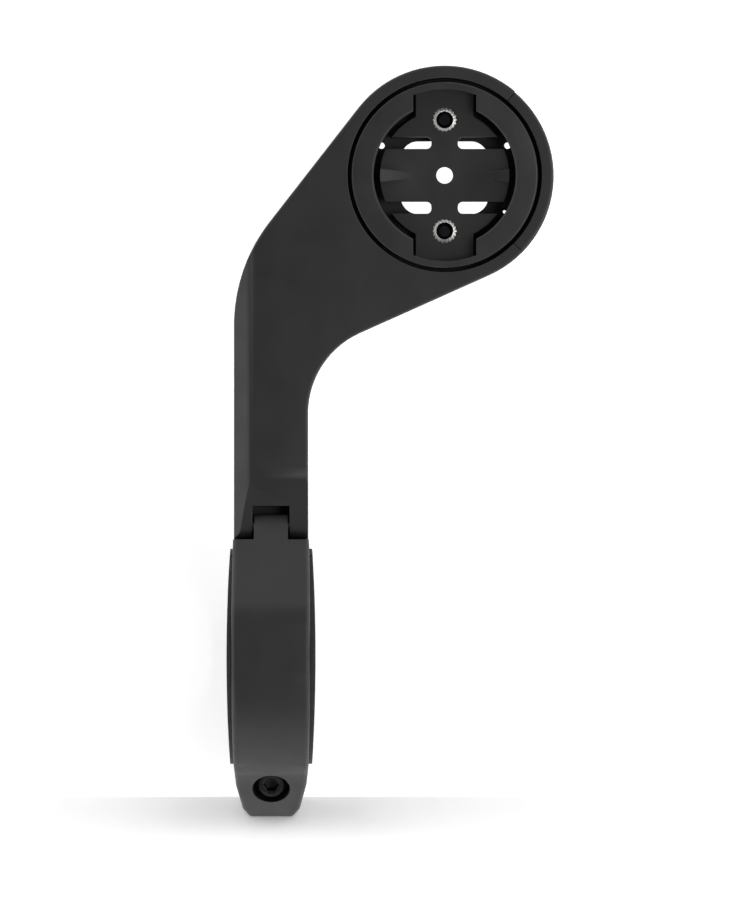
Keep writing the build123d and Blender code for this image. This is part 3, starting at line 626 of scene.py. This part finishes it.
def shade(mesh: bpy.types.Mesh, sharp_degrees: float) -> None:
    """Shade a mesh smooth, but for the edges that turn by more than an angle."""
    work = bmesh.new()
    work.from_mesh(mesh)
    for face in work.faces:
        face.smooth = True
    for edge in work.edges:
        edge.smooth = len(edge.link_faces) == 2 and edge.calc_face_angle(0.0) < math.radians(sharp_degrees)
    work.to_mesh(mesh)
    work.free()


def settle(piece: bpy.types.Object, body: Body, slot: Slot, *nodes: str) -> bpy.types.Object:
    """Put a piece on its body and hide the CAD nodes that it stands for."""
    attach(piece, body.value)
    if nodes:
        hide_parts(*nodes)
    LOG.info("%s: %d faces on %s", piece.name, len(piece.data.polygons), body.value)
    return piece


def merged_copy(node: bpy.types.Object, name: str, join_mm: float = 0.002) -> bpy.types.Mesh:
    """A copy of a CAD node's mesh with its loose triangles joined.

    Args:
        node: The CAD node.
        name: The new mesh's name.
        join_mm: Corners nearer than this become one.

    Returns:
        The new mesh.
    """
    work = bmesh.new()
    work.from_mesh(node.data)
    bmesh.ops.remove_doubles(work, verts=work.verts, dist=join_mm * MM)
    bmesh.ops.dissolve_degenerate(work, edges=work.edges, dist=join_mm * MM)
    mesh = bpy.data.meshes.new(name)
    work.to_mesh(mesh)
    work.free()
    shade(mesh, 24.0)
    return mesh


def ring(radius: float, height: float, count: int, wave: Wave | None = None) -> Ring:
    """A closed row of points round +Z.

    Args:
        radius: Its radius where there is no wave.
        height: Its height.
        count: How many points it has.
        wave: Gives the radius from the angle and the height.

    Returns:
        The points.
    """
    points = []
    for step in range(count):
        angle = TAU * step / count
        reach = wave(angle, height) if wave else radius
        points.append(Vector((reach * math.cos(angle), reach * math.sin(angle), height)))
    return points


def loft(name: str, rings: Sequence[Ring], place: Matrix, hollow: bool = False) -> bpy.types.Mesh:
    """A skin over rows of points, closed at both ends or on itself.

    Args:
        name: The mesh's name.
        rings: Rows with the same number of points each.
        place: Where the mesh goes.
        hollow: True if the last row joins the first, as round a tube's wall.

    Returns:
        The mesh, faces outward.
    """
    work = bmesh.new()
    rows = [[work.verts.new(point) for point in points] for points in rings]
    count = len(rows[0])
    pairs = list(zip(rows, rows[1:]))
    if hollow:
        pairs.append((rows[-1], rows[0]))
    else:
        for row in (rows[0], rows[-1]):
            middle = work.verts.new(sum((v.co for v in row), Vector()) / count)
            for step in range(count):
                work.faces.new((row[step], row[(step + 1) % count], middle))
    for low, high in pairs:
        for step in range(count):
            after = (step + 1) % count
            work.faces.new((low[step], low[after], high[after], high[step]))
    bmesh.ops.remove_doubles(work, verts=work.verts, dist=1e-7)
    bmesh.ops.recalc_face_normals(work, faces=work.faces)
    work.transform(place)
    mesh = bpy.data.meshes.new(name)
    work.to_mesh(mesh)
    work.free()
    shade(mesh, 34.0)
    return mesh


def joined(name: str, meshes: Sequence[bpy.types.Mesh]) -> bpy.types.Mesh:
    """One mesh from several."""
    work = bmesh.new()
    for mesh in meshes:
        work.from_mesh(mesh)
    made = bpy.data.meshes.new(name)
    work.to_mesh(made)
    work.free()
    return made


def hexagon_wave(across_flats: float) -> Wave:
    """The radius of a hexagon by angle, with a corner at angle 0."""

    def radius(angle: float, height: float) -> float:
        """The hexagon's radius."""
        return across_flats / 2 / math.cos((angle % (TAU / 6)) - TAU / 12)

    return radius


def knurl_wave(root: float, tip: float, count: int) -> Wave:
    """The radius of a knurled edge by angle, with a tooth at angle 0.

    Args:
        root: The radius between the teeth.
        tip: The radius on a tooth.
        count: How many teeth it has.

    Returns:
        The function.
    """

    def radius(angle: float, height: float) -> float:
        """The knurl's radius: straight flanks, blunt tips and roots."""
        swing = abs(2.0 * ((angle * count / TAU) % 1.0) - 1.0)
        return root + (tip - root) * min(1.0, max(0.0, 1.6 * swing - 0.3))

    return radius


def thread_wave(crest: float, depth: float, pitch: float) -> Wave:
    """The radius of a screw thread by angle and height.

    Args:
        crest: The radius at the crests.
        depth: How far the roots lie inside them.
        pitch: The thread's rise in one turn.

    Returns:
        The function.
    """

    def radius(angle: float, height: float) -> float:
        """The thread's radius: flat crests and roots with 60 degree flanks."""
        turn = (height / pitch - angle / TAU) % 1.0
        flank = min(1.0, max(0.0, (1.0 - abs(2.0 * turn - 1.0)) * 1.4 - 0.12))
        return crest - depth * (1.0 - flank)

    return radius


@dataclass
class Teeth:
    """Equal teeth on an arc about +Z, made by Geometry Nodes.

    Negative height makes them stand inwards.
    """

    radius: float
    count: int
    width: float
    height: float
    length: float
    crest: float
    start: float = 0.0
    step: float = 0.0

    def tree(self) -> bpy.types.NodeTree:
        """The node tree, built once."""
        made = bpy.data.node_groups.get("teeth_on_arc")
        if made is not None:
            return made
        tree = bpy.data.node_groups.new("teeth_on_arc", "GeometryNodeTree")
        kinds = {"Count": "NodeSocketInt", "Material": "NodeSocketMaterial"}
        for name in ("Radius", "Count", "Width", "Height", "Length", "Crest", "Start", "Step", "Material"):
            kind = kinds.get(name, "NodeSocketFloat")
            tree.interface.new_socket(name, in_out="INPUT", socket_type=kind)
        tree.interface.new_socket("Mesh", in_out="OUTPUT", socket_type="NodeSocketGeometry")
        given = add_node(tree, "NodeGroupInput").outputs
        index = add_node(tree, "GeometryNodeInputIndex").outputs[0]
        turned = add_node(
            tree,
            "ShaderNodeMath",
            {"operation": "MULTIPLY_ADD"},
            links={0: index, 1: given["Step"], 2: given["Start"]},
        ).outputs[0]
        arm = add_node(tree, "ShaderNodeCombineXYZ", links={0: given["Radius"]})
        spot = add_node(
            tree,
            "ShaderNodeVectorRotate",
            settings={"rotation_type": "Z_AXIS"},
            links={"Vector": arm.outputs[0], "Angle": turned},
        )
        points = add_node(
            tree, "GeometryNodePoints", links={"Count": given["Count"], "Position": spot.outputs[0]}
        )
        thick = add_node(tree, "ShaderNodeMath", {"operation": "ABSOLUTE"}, links={0: given["Height"]})
        size = add_node(
            tree,
            "ShaderNodeCombineXYZ",
            links={0: thick.outputs[0], 1: given["Width"], 2: given["Length"]},
        )
        tooth = add_node(tree, "GeometryNodeMeshCube", links={"Size": size.outputs[0]})
        place = add_node(tree, "GeometryNodeInputPosition").outputs[0]
        corner = add_node(tree, "ShaderNodeSeparateXYZ", links={0: place}).outputs
        side = add_node(
            tree, "ShaderNodeMath", {"operation": "MULTIPLY"}, links={0: corner["X"], 1: given["Height"]}
        )
        outer = add_node(
            tree, "ShaderNodeMath", {"operation": "GREATER_THAN"}, values={1: 0.0}, links={0: side.outputs[0]}
        )
        nearer = add_node(
            tree, "ShaderNodeMath", {"operation": "MULTIPLY"}, links={0: corner["Y"], 1: given["Crest"]}
        )
        narrowed = add_node(
            tree, "ShaderNodeCombineXYZ", links={0: corner["X"], 1: nearer.outputs[0], 2: corner["Z"]}
        )
        shaped = add_node(
            tree,
            "GeometryNodeSetPosition",
            links={
                "Geometry": tooth.outputs["Mesh"],
                "Selection": outer.outputs[0],
                "Position": narrowed.outputs[0],
            },
        )
        facing = add_node(tree, "ShaderNodeCombineXYZ", links={2: turned})
        rows = add_node(
            tree,
            "GeometryNodeInstanceOnPoints",
            links={"Points": points.outputs[0], "Instance": shaped.outputs[0], "Rotation": facing.outputs[0]},
        )
        real = add_node(tree, "GeometryNodeRealizeInstances", links={0: rows.outputs[0]})
        coloured = add_node(
            tree,
            "GeometryNodeSetMaterial",
            links={"Geometry": real.outputs[0], "Material": given["Material"]},
        )
        add_node(tree, "NodeGroupOutput", links={0: coloured.outputs[0]})
        return tree

    def mesh(self, name: str, finish: Finish, place: Matrix) -> bpy.types.Mesh:
        """Run the tree and keep its result as a plain mesh.

        Args:
            name: The mesh's name.
            finish: Its finish.
            place: Where it goes, from its own axes.

        Returns:
            The mesh.
        """
        holder = bpy.data.objects.new(name, bpy.data.meshes.new(name))
        bpy.context.scene.collection.objects.link(holder)
        modifier = holder.modifiers.new("teeth", "NODES")
        tree = self.tree()
        modifier.node_group = tree
        wanted = {
            "Radius": self.radius,
            "Count": self.count,
            "Width": self.width,
            "Height": self.height,
            "Length": self.length,
            "Crest": self.crest,
            "Start": self.start,
            "Step": self.step or TAU / self.count,
            "Material": finish.make(),
        }
        for item in tree.interface.items_tree:
            if item.in_out == "INPUT":
                modifier[item.identifier] = wanted[item.name]
        shown = holder.evaluated_get(bpy.context.evaluated_depsgraph_get())
        mesh = bpy.data.meshes.new_from_object(shown)
        bpy.data.objects.remove(holder)
        mesh.transform(place)
        return mesh


# ---- what the CAD frame says ----------------------------------------------------------
@dataclass(frozen=True)
class Datum:
    """Places that the pieces are built from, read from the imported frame."""

    nodes: dict[str, bpy.types.Object]
    hinge: Vector
    screw_along: Vector
    screw_middle: Vector

    @classmethod
    def read(cls, frame: dict[str, Any]) -> "Datum":
        joints = {joint["name"]: joint for joint in frame["joints"]}
        along = Vector(joints["clamp_screw_travel"]["axis"]).normalized()
        washer_low, washer_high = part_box("clamp_washer")
        middle = (washer_low + washer_high) / 2
        return cls(
            nodes=frame["nodes"],
            hinge=Vector(joints["strap_hinge"]["pos_m"]),
            screw_along=along,
            screw_middle=middle - along * middle.dot(along),
        )

    def on_screw(self) -> Matrix:
        """The place whose +Z runs up the clamp screw and whose +X is the handlebar's."""
        across = Vector((1, 0, 0))
        turn = Matrix((across, self.screw_along.cross(across), self.screw_along)).transposed()
        return Matrix.Translation(self.screw_middle) @ turn.to_4x4()

    def screw_reach(self, node: str) -> tuple[float, float]:
        """A node's lowest and highest points along the clamp screw."""
        heights = [vertex.co.dot(self.screw_along) for vertex in self.nodes[node].data.vertices]
        return min(heights), max(heights)

    def upright(self, node: str) -> tuple[Matrix, float, float]:
        """The place on an upright node's axis, with its lowest and highest points."""
        low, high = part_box(node)
        return Matrix.Translation(((low.x + high.x) / 2, (low.y + high.y) / 2, 0)), low.z, high.z


def round_bar() -> Matrix:
    """The place whose +Z runs along the handlebar and whose +X points forward."""
    return Matrix(((0, 0, 1, 0), (1, 0, 0, 0), (0, 1, 0, 0), (0, 0, 0, 1)))


# ---- sub-assemblies -------------------------------------------------------------------
@dataclass
class Mouldings:
    """The arm with its head, the trim round the head's front, and the clamp's strap."""

    datum: Datum

    def build(self) -> None:
        """Copy each moulding with its triangles joined, and dress it."""
        for node, body, slot, finish in (
            ("arm", Body.MOUNT, Slot.NYLON, NYLON),
            ("front_rim", Body.MOUNT, Slot.TRIM, TRIM_NYLON),
            ("clamp_strap", Body.STRAP, Slot.NYLON, NYLON),
        ):
            name = node + "_moulding"
            piece = new_object(name, merged_copy(self.datum.nodes[node], name), finish)
            settle(piece, body, slot, node)


@dataclass
class LinerPair:
    """The two rubber half liners, ribbed inside to grip the bar."""

    datum: Datum
    bore_radius: float = 15.95 * MM
    rib_height: float = 0.25 * MM
    rib_width: float = 1.3 * MM
    rib_length: float = 14.4 * MM
    rib_crest: float = 0.7
    rib_count: int = 23
    end_margin: float = math.radians(4.5)

    def build(self) -> None:
        """Build both halves."""
        split = math.atan2(self.datum.hinge.z, self.datum.hinge.y)
        self.half("upper_liner", Body.STRAP, split)
        self.half("lower_liner", Body.MOUNT, split - math.pi)

    def half(self, node: str, body: Body, start: float) -> None:
        """One half: the sleeve, sunk by a rib's height inside, and its ribs.

        Args:
            node: The CAD node that it stands for.
            body: What it rides on.
            start: The angle of its first split face, from forward.
        """
        name = node + "_ribbed"
        sleeve = merged_copy(self.datum.nodes[node], name)
        for vertex in sleeve.vertices:
            reach = math.hypot(vertex.co.y, vertex.co.z)
            if abs(reach - self.bore_radius) < 0.02 * MM:
                grown = (self.bore_radius + self.rib_height) / reach
                vertex.co.y *= grown
                vertex.co.z *= grown
        step = (math.pi - 2 * self.end_margin) / (self.rib_count - 1)
        ribs = Teeth(
            radius=self.bore_radius + self.rib_height / 2 + 0.02 * MM,
            count=self.rib_count,
            width=self.rib_width,
            height=-self.rib_height,
            length=self.rib_length,
            crest=self.rib_crest,
            start=start + self.end_margin,
            step=step,
        ).mesh(name + "_ribs", RUBBER, round_bar())
        piece = new_object(name, joined(name, (sleeve, ribs)), RUBBER)
        settle(piece, body, Slot.RUBBER, node)


@dataclass
class HingePin:
    """The strap's hinge pin, with domed ends."""

    datum: Datum
    radius: float = 1.0 * MM
    dome: float = 0.22 * MM

    def build(self) -> None:
        """Build the pin in the ears."""
        low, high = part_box("hinge_pin")
        rings = []
        for end, side in ((low.x, 1), (high.x, -1)):
            rows = [
                ring(self.radius * 0.55, end, 48),
                ring(self.radius * 0.82, end + side * self.dome * 0.2, 48),
                ring(self.radius * 0.95, end + side * self.dome * 0.55, 48),
                ring(self.radius, end + side * self.dome, 48),
            ]
            rings += rows if side > 0 else rows[::-1]
        place = Matrix.Translation((0, self.datum.hinge.y, self.datum.hinge.z)) @ round_bar()
        piece = new_object("hinge_pin_ground", loft("hinge_pin_ground", rings, place), GROUND_STEEL)
        settle(piece, Body.MOUNT, Slot.PIN, "hinge_pin")


@dataclass
class Thread:
    """A metric screw thread, M3 unless told otherwise."""

    crest: float = 1.5 * MM
    depth: float = 0.27 * MM
    pitch: float = 0.5 * MM
    rows_per_turn: int = 8

    def rings(self, low: float, high: float, count: int) -> list[Ring]:
        """Rows for an outside thread from one height up to another."""
        wave = thread_wave(self.crest, self.depth, self.pitch)
        return self.rows(low, high, count, wave)

    def bore(self, low: float, high: float, count: int, radius: float) -> list[Ring]:
        """Rows for an inside thread of one clear radius, from the upper height down to the lower."""
        outside = thread_wave(radius + self.depth, self.depth, self.pitch)
        return self.rows(low, high, count, outside)[::-1]

    def rows(self, low: float, high: float, count: int, wave: Wave) -> list[Ring]:
        """Evenly spaced rows of a wave."""
        steps = max(1, round((high - low) / self.pitch * self.rows_per_turn))
        return [ring(0, low + (high - low) * step / steps, count, wave) for step in range(steps + 1)]


@dataclass
class ClampFastener:
    """The clamp's socket cap screw, its washer and its nut."""

    datum: Datum
    thread: Thread = field(default_factory=Thread)
    head_radius: float = 2.75 * MM
    head_height: float = 3.0 * MM
    knurl_depth: float = 0.14 * MM
    knurl_count: int = 40
    key_across: float = 2.5 * MM
    key_depth: float = 1.6 * MM
    washer_radius: float = 3.2 * MM
    washer_bore: float = 1.6 * MM
    nut_across: float = 5.5 * MM
    nut_bore: float = 1.55 * MM
    sides: int = 72

    def build(self) -> None:
        """Build the three."""
        self.screw()
        self.washer()
        self.nut()

    def screw(self) -> None:
        """Threaded shank, knurled head and hexagon socket."""
        tip, top = self.datum.screw_reach("clamp_screw")
        seat = top - self.head_height
        core = self.head_radius - self.knurl_depth
        key = hexagon_wave(self.key_across)
        n = self.sides
        rings = [ring(1.0 * MM, tip, n), ring(1.22 * MM, tip + 0.3 * MM, n)]
        rings += self.thread.rings(tip + 0.35 * MM, seat - 0.6 * MM, n)
        rings += [
            ring(1.42 * MM, seat - 0.35 * MM, n),
            ring(1.5 * MM, seat - 0.12 * MM, n),
            ring(1.6 * MM, seat, n),
            ring(core - 0.1 * MM, seat, n),
            ring(core, seat + 0.1 * MM, n),
            ring(core, top - 0.38 * MM, n),
            ring(core - 0.12 * MM, top - 0.12 * MM, n),
            ring(core - 0.3 * MM, top, n),
            ring(1.52 * MM, top, n),
            ring(0, top - 0.12 * MM, n, key),
            ring(0, top - self.key_depth, n, key),
            ring(0.3 * MM, top - self.key_depth - 0.3 * MM, n),
        ]
        place = self.datum.on_screw()
        knurl_length = self.head_height - 0.65 * MM
        knurl_middle = seat + 0.18 * MM + knurl_length / 2
        knurl = Teeth(
            radius=core + self.knurl_depth / 2 - 0.02 * MM,
            count=self.knurl_count,
            width=TAU * core / self.knurl_count * 0.98,
            height=self.knurl_depth + 0.03 * MM,
            length=knurl_length,
            crest=0.12,
        ).mesh("clamp_screw_knurl", BLACK_STEEL, place @ Matrix.Translation((0, 0, knurl_middle)))
        body = loft("clamp_screw_body", rings, place)
        piece = new_object("clamp_screw_m3", joined("clamp_screw_m3", (body, knurl)), BLACK_STEEL)
        settle(piece, Body.SCREW, Slot.BLACK_SCREW, "clamp_screw")

    def washer(self) -> None:
        """A stamped washer: its upper edge rounded by the punch."""
        low, high = self.datum.screw_reach("clamp_washer")
        n = self.sides
        rings = [
            ring(self.washer_bore, low + 0.04 * MM, n),
            ring(self.washer_bore + 0.04 * MM, low, n),
            ring(self.washer_radius - 0.05 * MM, low, n),
            ring(self.washer_radius, low + 0.05 * MM, n),
            ring(self.washer_radius, high - 0.14 * MM, n),
            ring(self.washer_radius - 0.06 * MM, high - 0.03 * MM, n),
            ring(self.washer_radius - 0.16 * MM, high, n),
            ring(self.washer_bore + 0.1 * MM, high, n),
            ring(self.washer_bore, high - 0.1 * MM, n),
        ]
        mesh = loft("clamp_washer_stamped", rings, self.datum.on_screw(), hollow=True)
        piece = new_object("clamp_washer_stamped", mesh, BLACK_STEEL)
        settle(piece, Body.SCREW, Slot.BLACK_SCREW, "clamp_washer")

    def nut(self) -> None:
        """A hexagon nut: both faces chamfered round, the bore countersunk and threaded."""
        low, high = self.datum.screw_reach("clamp_nut")
        hexagonal = hexagon_wave(self.nut_across)
        face = self.nut_across / 2 - 0.15 * MM

        def chamfered(angle: float, height: float) -> float:
            """The hexagon cut by the chamfer's cone."""
            inside = min(height - low, high - height)
            return min(hexagonal(angle, height), face + inside * 1.73)

        n = self.sides
        outside = [low, low + 0.09 * MM, low + 0.18 * MM, low + 0.28 * MM, low + 0.4 * MM]
        outside += [low + high - height for height in outside[::-1]]
        rings = [ring(self.nut_bore + 0.2 * MM, low, n)]
        rings += [ring(0, height, n, chamfered) for height in outside]
        rings += [ring(self.nut_bore + 0.2 * MM, high, n)]
        rings += self.thread.bore(low + 0.2 * MM, high - 0.2 * MM, n, self.nut_bore)
        mesh = loft("clamp_nut_m3", rings, self.datum.on_screw(), hollow=True)
        settle(new_object("clamp_nut_m3", mesh, ZINC_STEEL), Body.MOUNT, Slot.ZINC, "clamp_nut")


@dataclass
class Socket:
    """The quarter-turn socket: puck, spring fingers, threaded inserts and their screws."""

    datum: Datum
    thread: Thread = field(default_factory=Thread)
    insert_radius: float = 2.4 * MM
    insert_core: float = 2.26 * MM
    insert_slant: float = 0.28 * MM
    insert_sides: int = 108
    insert_bore: float = 1.55 * MM
    insert_teeth: int = 18
    head_radius: float = 2.75 * MM
    head_height: float = 1.8 * MM
    key_across: float = 2.0 * MM
    key_depth: float = 1.0 * MM
    sides: int = 72

    def build(self) -> None:
        """Build all of it."""
        for node, body in (
            ("puck", Body.MOUNT),
            ("detent_finger_left", Body.LEFT_FINGER),
            ("detent_finger_right", Body.RIGHT_FINGER),
        ):
            name = node + "_moulding"
            piece = new_object(name, merged_copy(self.datum.nodes[node], name), ACETAL)
            settle(piece, body, Slot.PUCK, node)
        for side in ("front", "rear"):
            self.insert("insert_" + side)
            self.screw("puck_screw_" + side)

    def insert(self, node: str) -> None:
        """A turned insert: its top slants down to the knurl, and its bore is threaded."""
        place, low, high = self.datum.upright(node)
        core, bore, n = self.insert_core, self.insert_bore, self.insert_sides
        rim = knurl_wave(core, self.insert_radius, self.insert_teeth)
        rings = [
            ring(bore + 0.2 * MM, low, n),
            ring(core - 0.1 * MM, low, n),
            ring(core, low + 0.1 * MM, n),
            ring(core, high - self.insert_slant - 0.06 * MM, n),
            ring(0, high - self.insert_slant, n, rim),
            ring(bore + 0.04 * MM, high, n),
        ]
        rings += self.thread.bore(low + 0.2 * MM, high - 0.14 * MM, n, bore)
        name = node + "_knurled"
        body = loft(name, rings, place, hollow=True)
        length = high - low - 0.08 * MM - self.insert_slant
        middle = low + 0.04 * MM + length / 2
        teeth = Teeth(
            radius=(self.insert_radius + core - 0.06 * MM) / 2,
            count=self.insert_teeth,
            width=TAU * core / self.insert_teeth * 0.96,
            height=self.insert_radius - core + 0.06 * MM,
            length=length,
            crest=0.3,
        ).mesh(name + "_teeth", NICKEL_BRASS, place @ Matrix.Translation((0, 0, middle)))
        piece = new_object(name, joined(name, (body, teeth)), NICKEL_BRASS)
        settle(piece, Body.MOUNT, Slot.INSERT, node)

    def screw(self, node: str) -> None:
        """A pan head screw from below: socket, domed head, threaded shank."""
        place, low, high = self.datum.upright(node)
        under = low + self.head_height
        key, n, radius = hexagon_wave(self.key_across), self.sides, self.head_radius
        rings = [
            ring(0.3 * MM, low + self.key_depth + 0.2 * MM, n),
            ring(0, low + self.key_depth, n, key),
            ring(0, low + 0.12 * MM, n, key),
            ring(1.24 * MM, low, n),
            ring(1.7 * MM, low + 0.02 * MM, n),
            ring(2.1 * MM, low + 0.1 * MM, n),
            ring(2.45 * MM, low + 0.28 * MM, n),
            ring(2.66 * MM, low + 0.55 * MM, n),
            ring(radius, low + 0.95 * MM, n),
            ring(radius, under - 0.1 * MM, n),
            ring(radius - 0.08 * MM, under, n),
            ring(1.6 * MM, under, n),
            ring(1.5 * MM, under + 0.1 * MM, n),
        ]
        rings += self.thread.rings(under + 0.3 * MM, high - 0.35 * MM, n)
        rings += [ring(1.22 * MM, high - 0.3 * MM, n), ring(1.0 * MM, high, n)]
        name = node + "_m3"
        settle(new_object(name, loft(name, rings, place), BLACK_STEEL), Body.MOUNT, Slot.BLACK_SCREW, node)


# ---- studio ---------------------------------------------------------------------------
@dataclass(frozen=True)
class Lamp:
    """A soft far lamp, by where its light comes from."""

    name: str
    source: tuple[float, float, float]
    strength: float
    spread_degrees: float

    def build(self) -> None:
        """Add it to the scene."""
        data = bpy.data.lights.new(self.name, "SUN")
        data.energy = self.strength
        data.angle = math.radians(self.spread_degrees)
        lamp = bpy.data.objects.new(self.name, data)
        lamp.rotation_euler = Vector(self.source).to_track_quat("Z", "Y").to_euler()
        bpy.context.scene.collection.objects.link(lamp)


@dataclass
class Studio:
    """Camera straight above, pale papers, bright surroundings and one soft lamp."""

    middle: tuple[float, float] = (17.96 * MM, 36.85 * MM)
    plane: float = 10.0 * MM
    distance: float = 2.8
    long_side: float = 169.6 * MM
    sensor: float = 36.0
    floor_half: float = 1.5
    floor_gap: float = 0.3 * MM
    stand_gap: float = 0.1 * MM
    stand_lean: float = math.radians(9.5)
    stand_size: tuple[float, float] = (0.6, 0.1)
    horizon: float = 1.95
    zenith: float = 0.06
    dim_ends: float = 0.24
    lamps: tuple[Lamp, ...] = (
        Lamp("lamp_right", (0.42, -0.05, 0.9), 0.6, 25.0),
    )

    def camera(self) -> None:
        """The camera, with +Y up in its picture."""
        data = bpy.data.cameras.new("camera")
        data.sensor_width = self.sensor
        data.lens = self.sensor * self.distance / self.long_side
        data.clip_start, data.clip_end = 0.1, 20.0
        made = bpy.data.objects.new("camera", data)
        made.location = (*self.middle, self.plane + self.distance)
        bpy.context.scene.collection.objects.link(made)
        bpy.context.scene.camera = made

    def build(self, strap: bpy.types.Object, lowest: float) -> None:
        """Papers, lamps, world and plain colours.

        Args:
            strap: The clamp's strap, whose lug ends the object at the rear.
            lowest: The object's lowest point.
        """
        self.floor(lowest - self.floor_gap)
        tip = min((vertex.co for vertex in strap.data.vertices), key=self.rearward)
        self.stand(tip, lowest - self.floor_gap)
        for lamp in self.lamps:
            lamp.build()
        self.world()
        bpy.context.scene.view_settings.view_transform = "Standard"

    def floor(self, height: float) -> None:
        """A level sheet of paper under the object."""
        half = self.floor_half
        mesh = bpy.data.meshes.new("floor")
        corners = [(-half, -half, height), (half, -half, height), (half, half, height), (-half, half, height)]
        mesh.from_pydata(corners, [], [(0, 1, 2, 3)])
        new_object("floor", mesh, PAPER)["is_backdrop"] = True

    def rearward(self, point: Vector) -> float:
        """How far forward of the leaning sheet's own direction a point lies."""
        return point.y + point.z * math.tan(self.stand_lean)

    def stand(self, tip: Vector, height: float) -> None:
        """A sheet that rises from the floor past the lug's end, leaning away from the camera.

        Args:
            tip: The point of the object that stands nearest to it.
            height: The floor's height.
        """
        half, rise = self.stand_size[0] / 2, self.stand_size[1]
        lean = math.tan(self.stand_lean)
        foot = tip.y - self.stand_gap + (tip.z - height) * lean
        top = foot - rise * lean
        mesh = bpy.data.meshes.new("stand")
        corners = [(half, foot, height), (-half, foot, height)]
        corners += [(-half, top, height + rise), (half, top, height + rise)]
        mesh.from_pydata(corners, [], [(0, 1, 2, 3)])
        new_object("stand", mesh, STAND_PAPER)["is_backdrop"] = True

    def world(self) -> None:
        """White where it is looked at; for light and gloss, bright all round and dark overhead."""
        world = bpy.data.worlds.new("studio")
        bpy.context.scene.world = world
        world.use_nodes = True
        tree = world.node_tree
        tree.nodes.clear()
        towards = add_node(tree, "ShaderNodeTexCoord").outputs["Generated"]
        parts = add_node(tree, "ShaderNodeSeparateXYZ", links={0: towards}).outputs
        level = add_node(
            tree,
            "ShaderNodeMapRange",
            settings={"interpolation_type": "SMOOTHSTEP"},
            values={"From Min": 0.3, "From Max": 0.98, "To Min": self.horizon, "To Max": self.zenith},
            links={"Value": parts["Z"]},
        )
        endways = add_node(tree, "ShaderNodeMath", {"operation": "ABSOLUTE"}, links={0: parts["Y"]})
        dimmed = add_node(
            tree,
            "ShaderNodeMapRange",
            values={"From Min": 0.0, "From Max": 1.0, "To Min": 1.0, "To Max": 1.0 - self.dim_ends},
            links={"Value": endways.outputs[0]},
        )
        strength = add_node(
            tree,
            "ShaderNodeMath",
            {"operation": "MULTIPLY"},
            links={0: level.outputs[0], 1: dimmed.outputs[0]},
        )
        white = linear("#FFFFFF")
        around = add_node(
            tree, "ShaderNodeBackground", values={"Color": white}, links={"Strength": strength.outputs[0]}
        )
        plain = add_node(tree, "ShaderNodeBackground", values={"Color": white, "Strength": 1.0})
        path = add_node(tree, "ShaderNodeLightPath").outputs
        seen = add_node(
            tree,
            "ShaderNodeMath",
            {"operation": "MAXIMUM"},
            links={0: path["Is Camera Ray"], 1: path["Is Transmission Ray"]},
        )
        both = add_node(
            tree, "ShaderNodeMixShader", links={0: seen.outputs[0], 1: around.outputs[0], 2: plain.outputs[0]}
        )
        add_node(tree, "ShaderNodeOutputWorld", links={"Surface": both.outputs[0]})


def main() -> None:
    """Load the frame, then build the studio and each sub-assembly in order."""
    logging.basicConfig(level=logging.INFO, format="%(name)s %(message)s")
    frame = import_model()
    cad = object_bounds()
    datum = Datum.read(frame)
    studio = Studio()
    studio.camera()
    studio.build(datum.nodes["clamp_strap"], cad[0].z)
    for assembly in (
        Mouldings(datum),
        LinerPair(datum),
        HingePin(datum),
        ClampFastener(datum),
        Socket(datum),
    ):
        assembly.build()


if __name__ == "__main__":
    main()
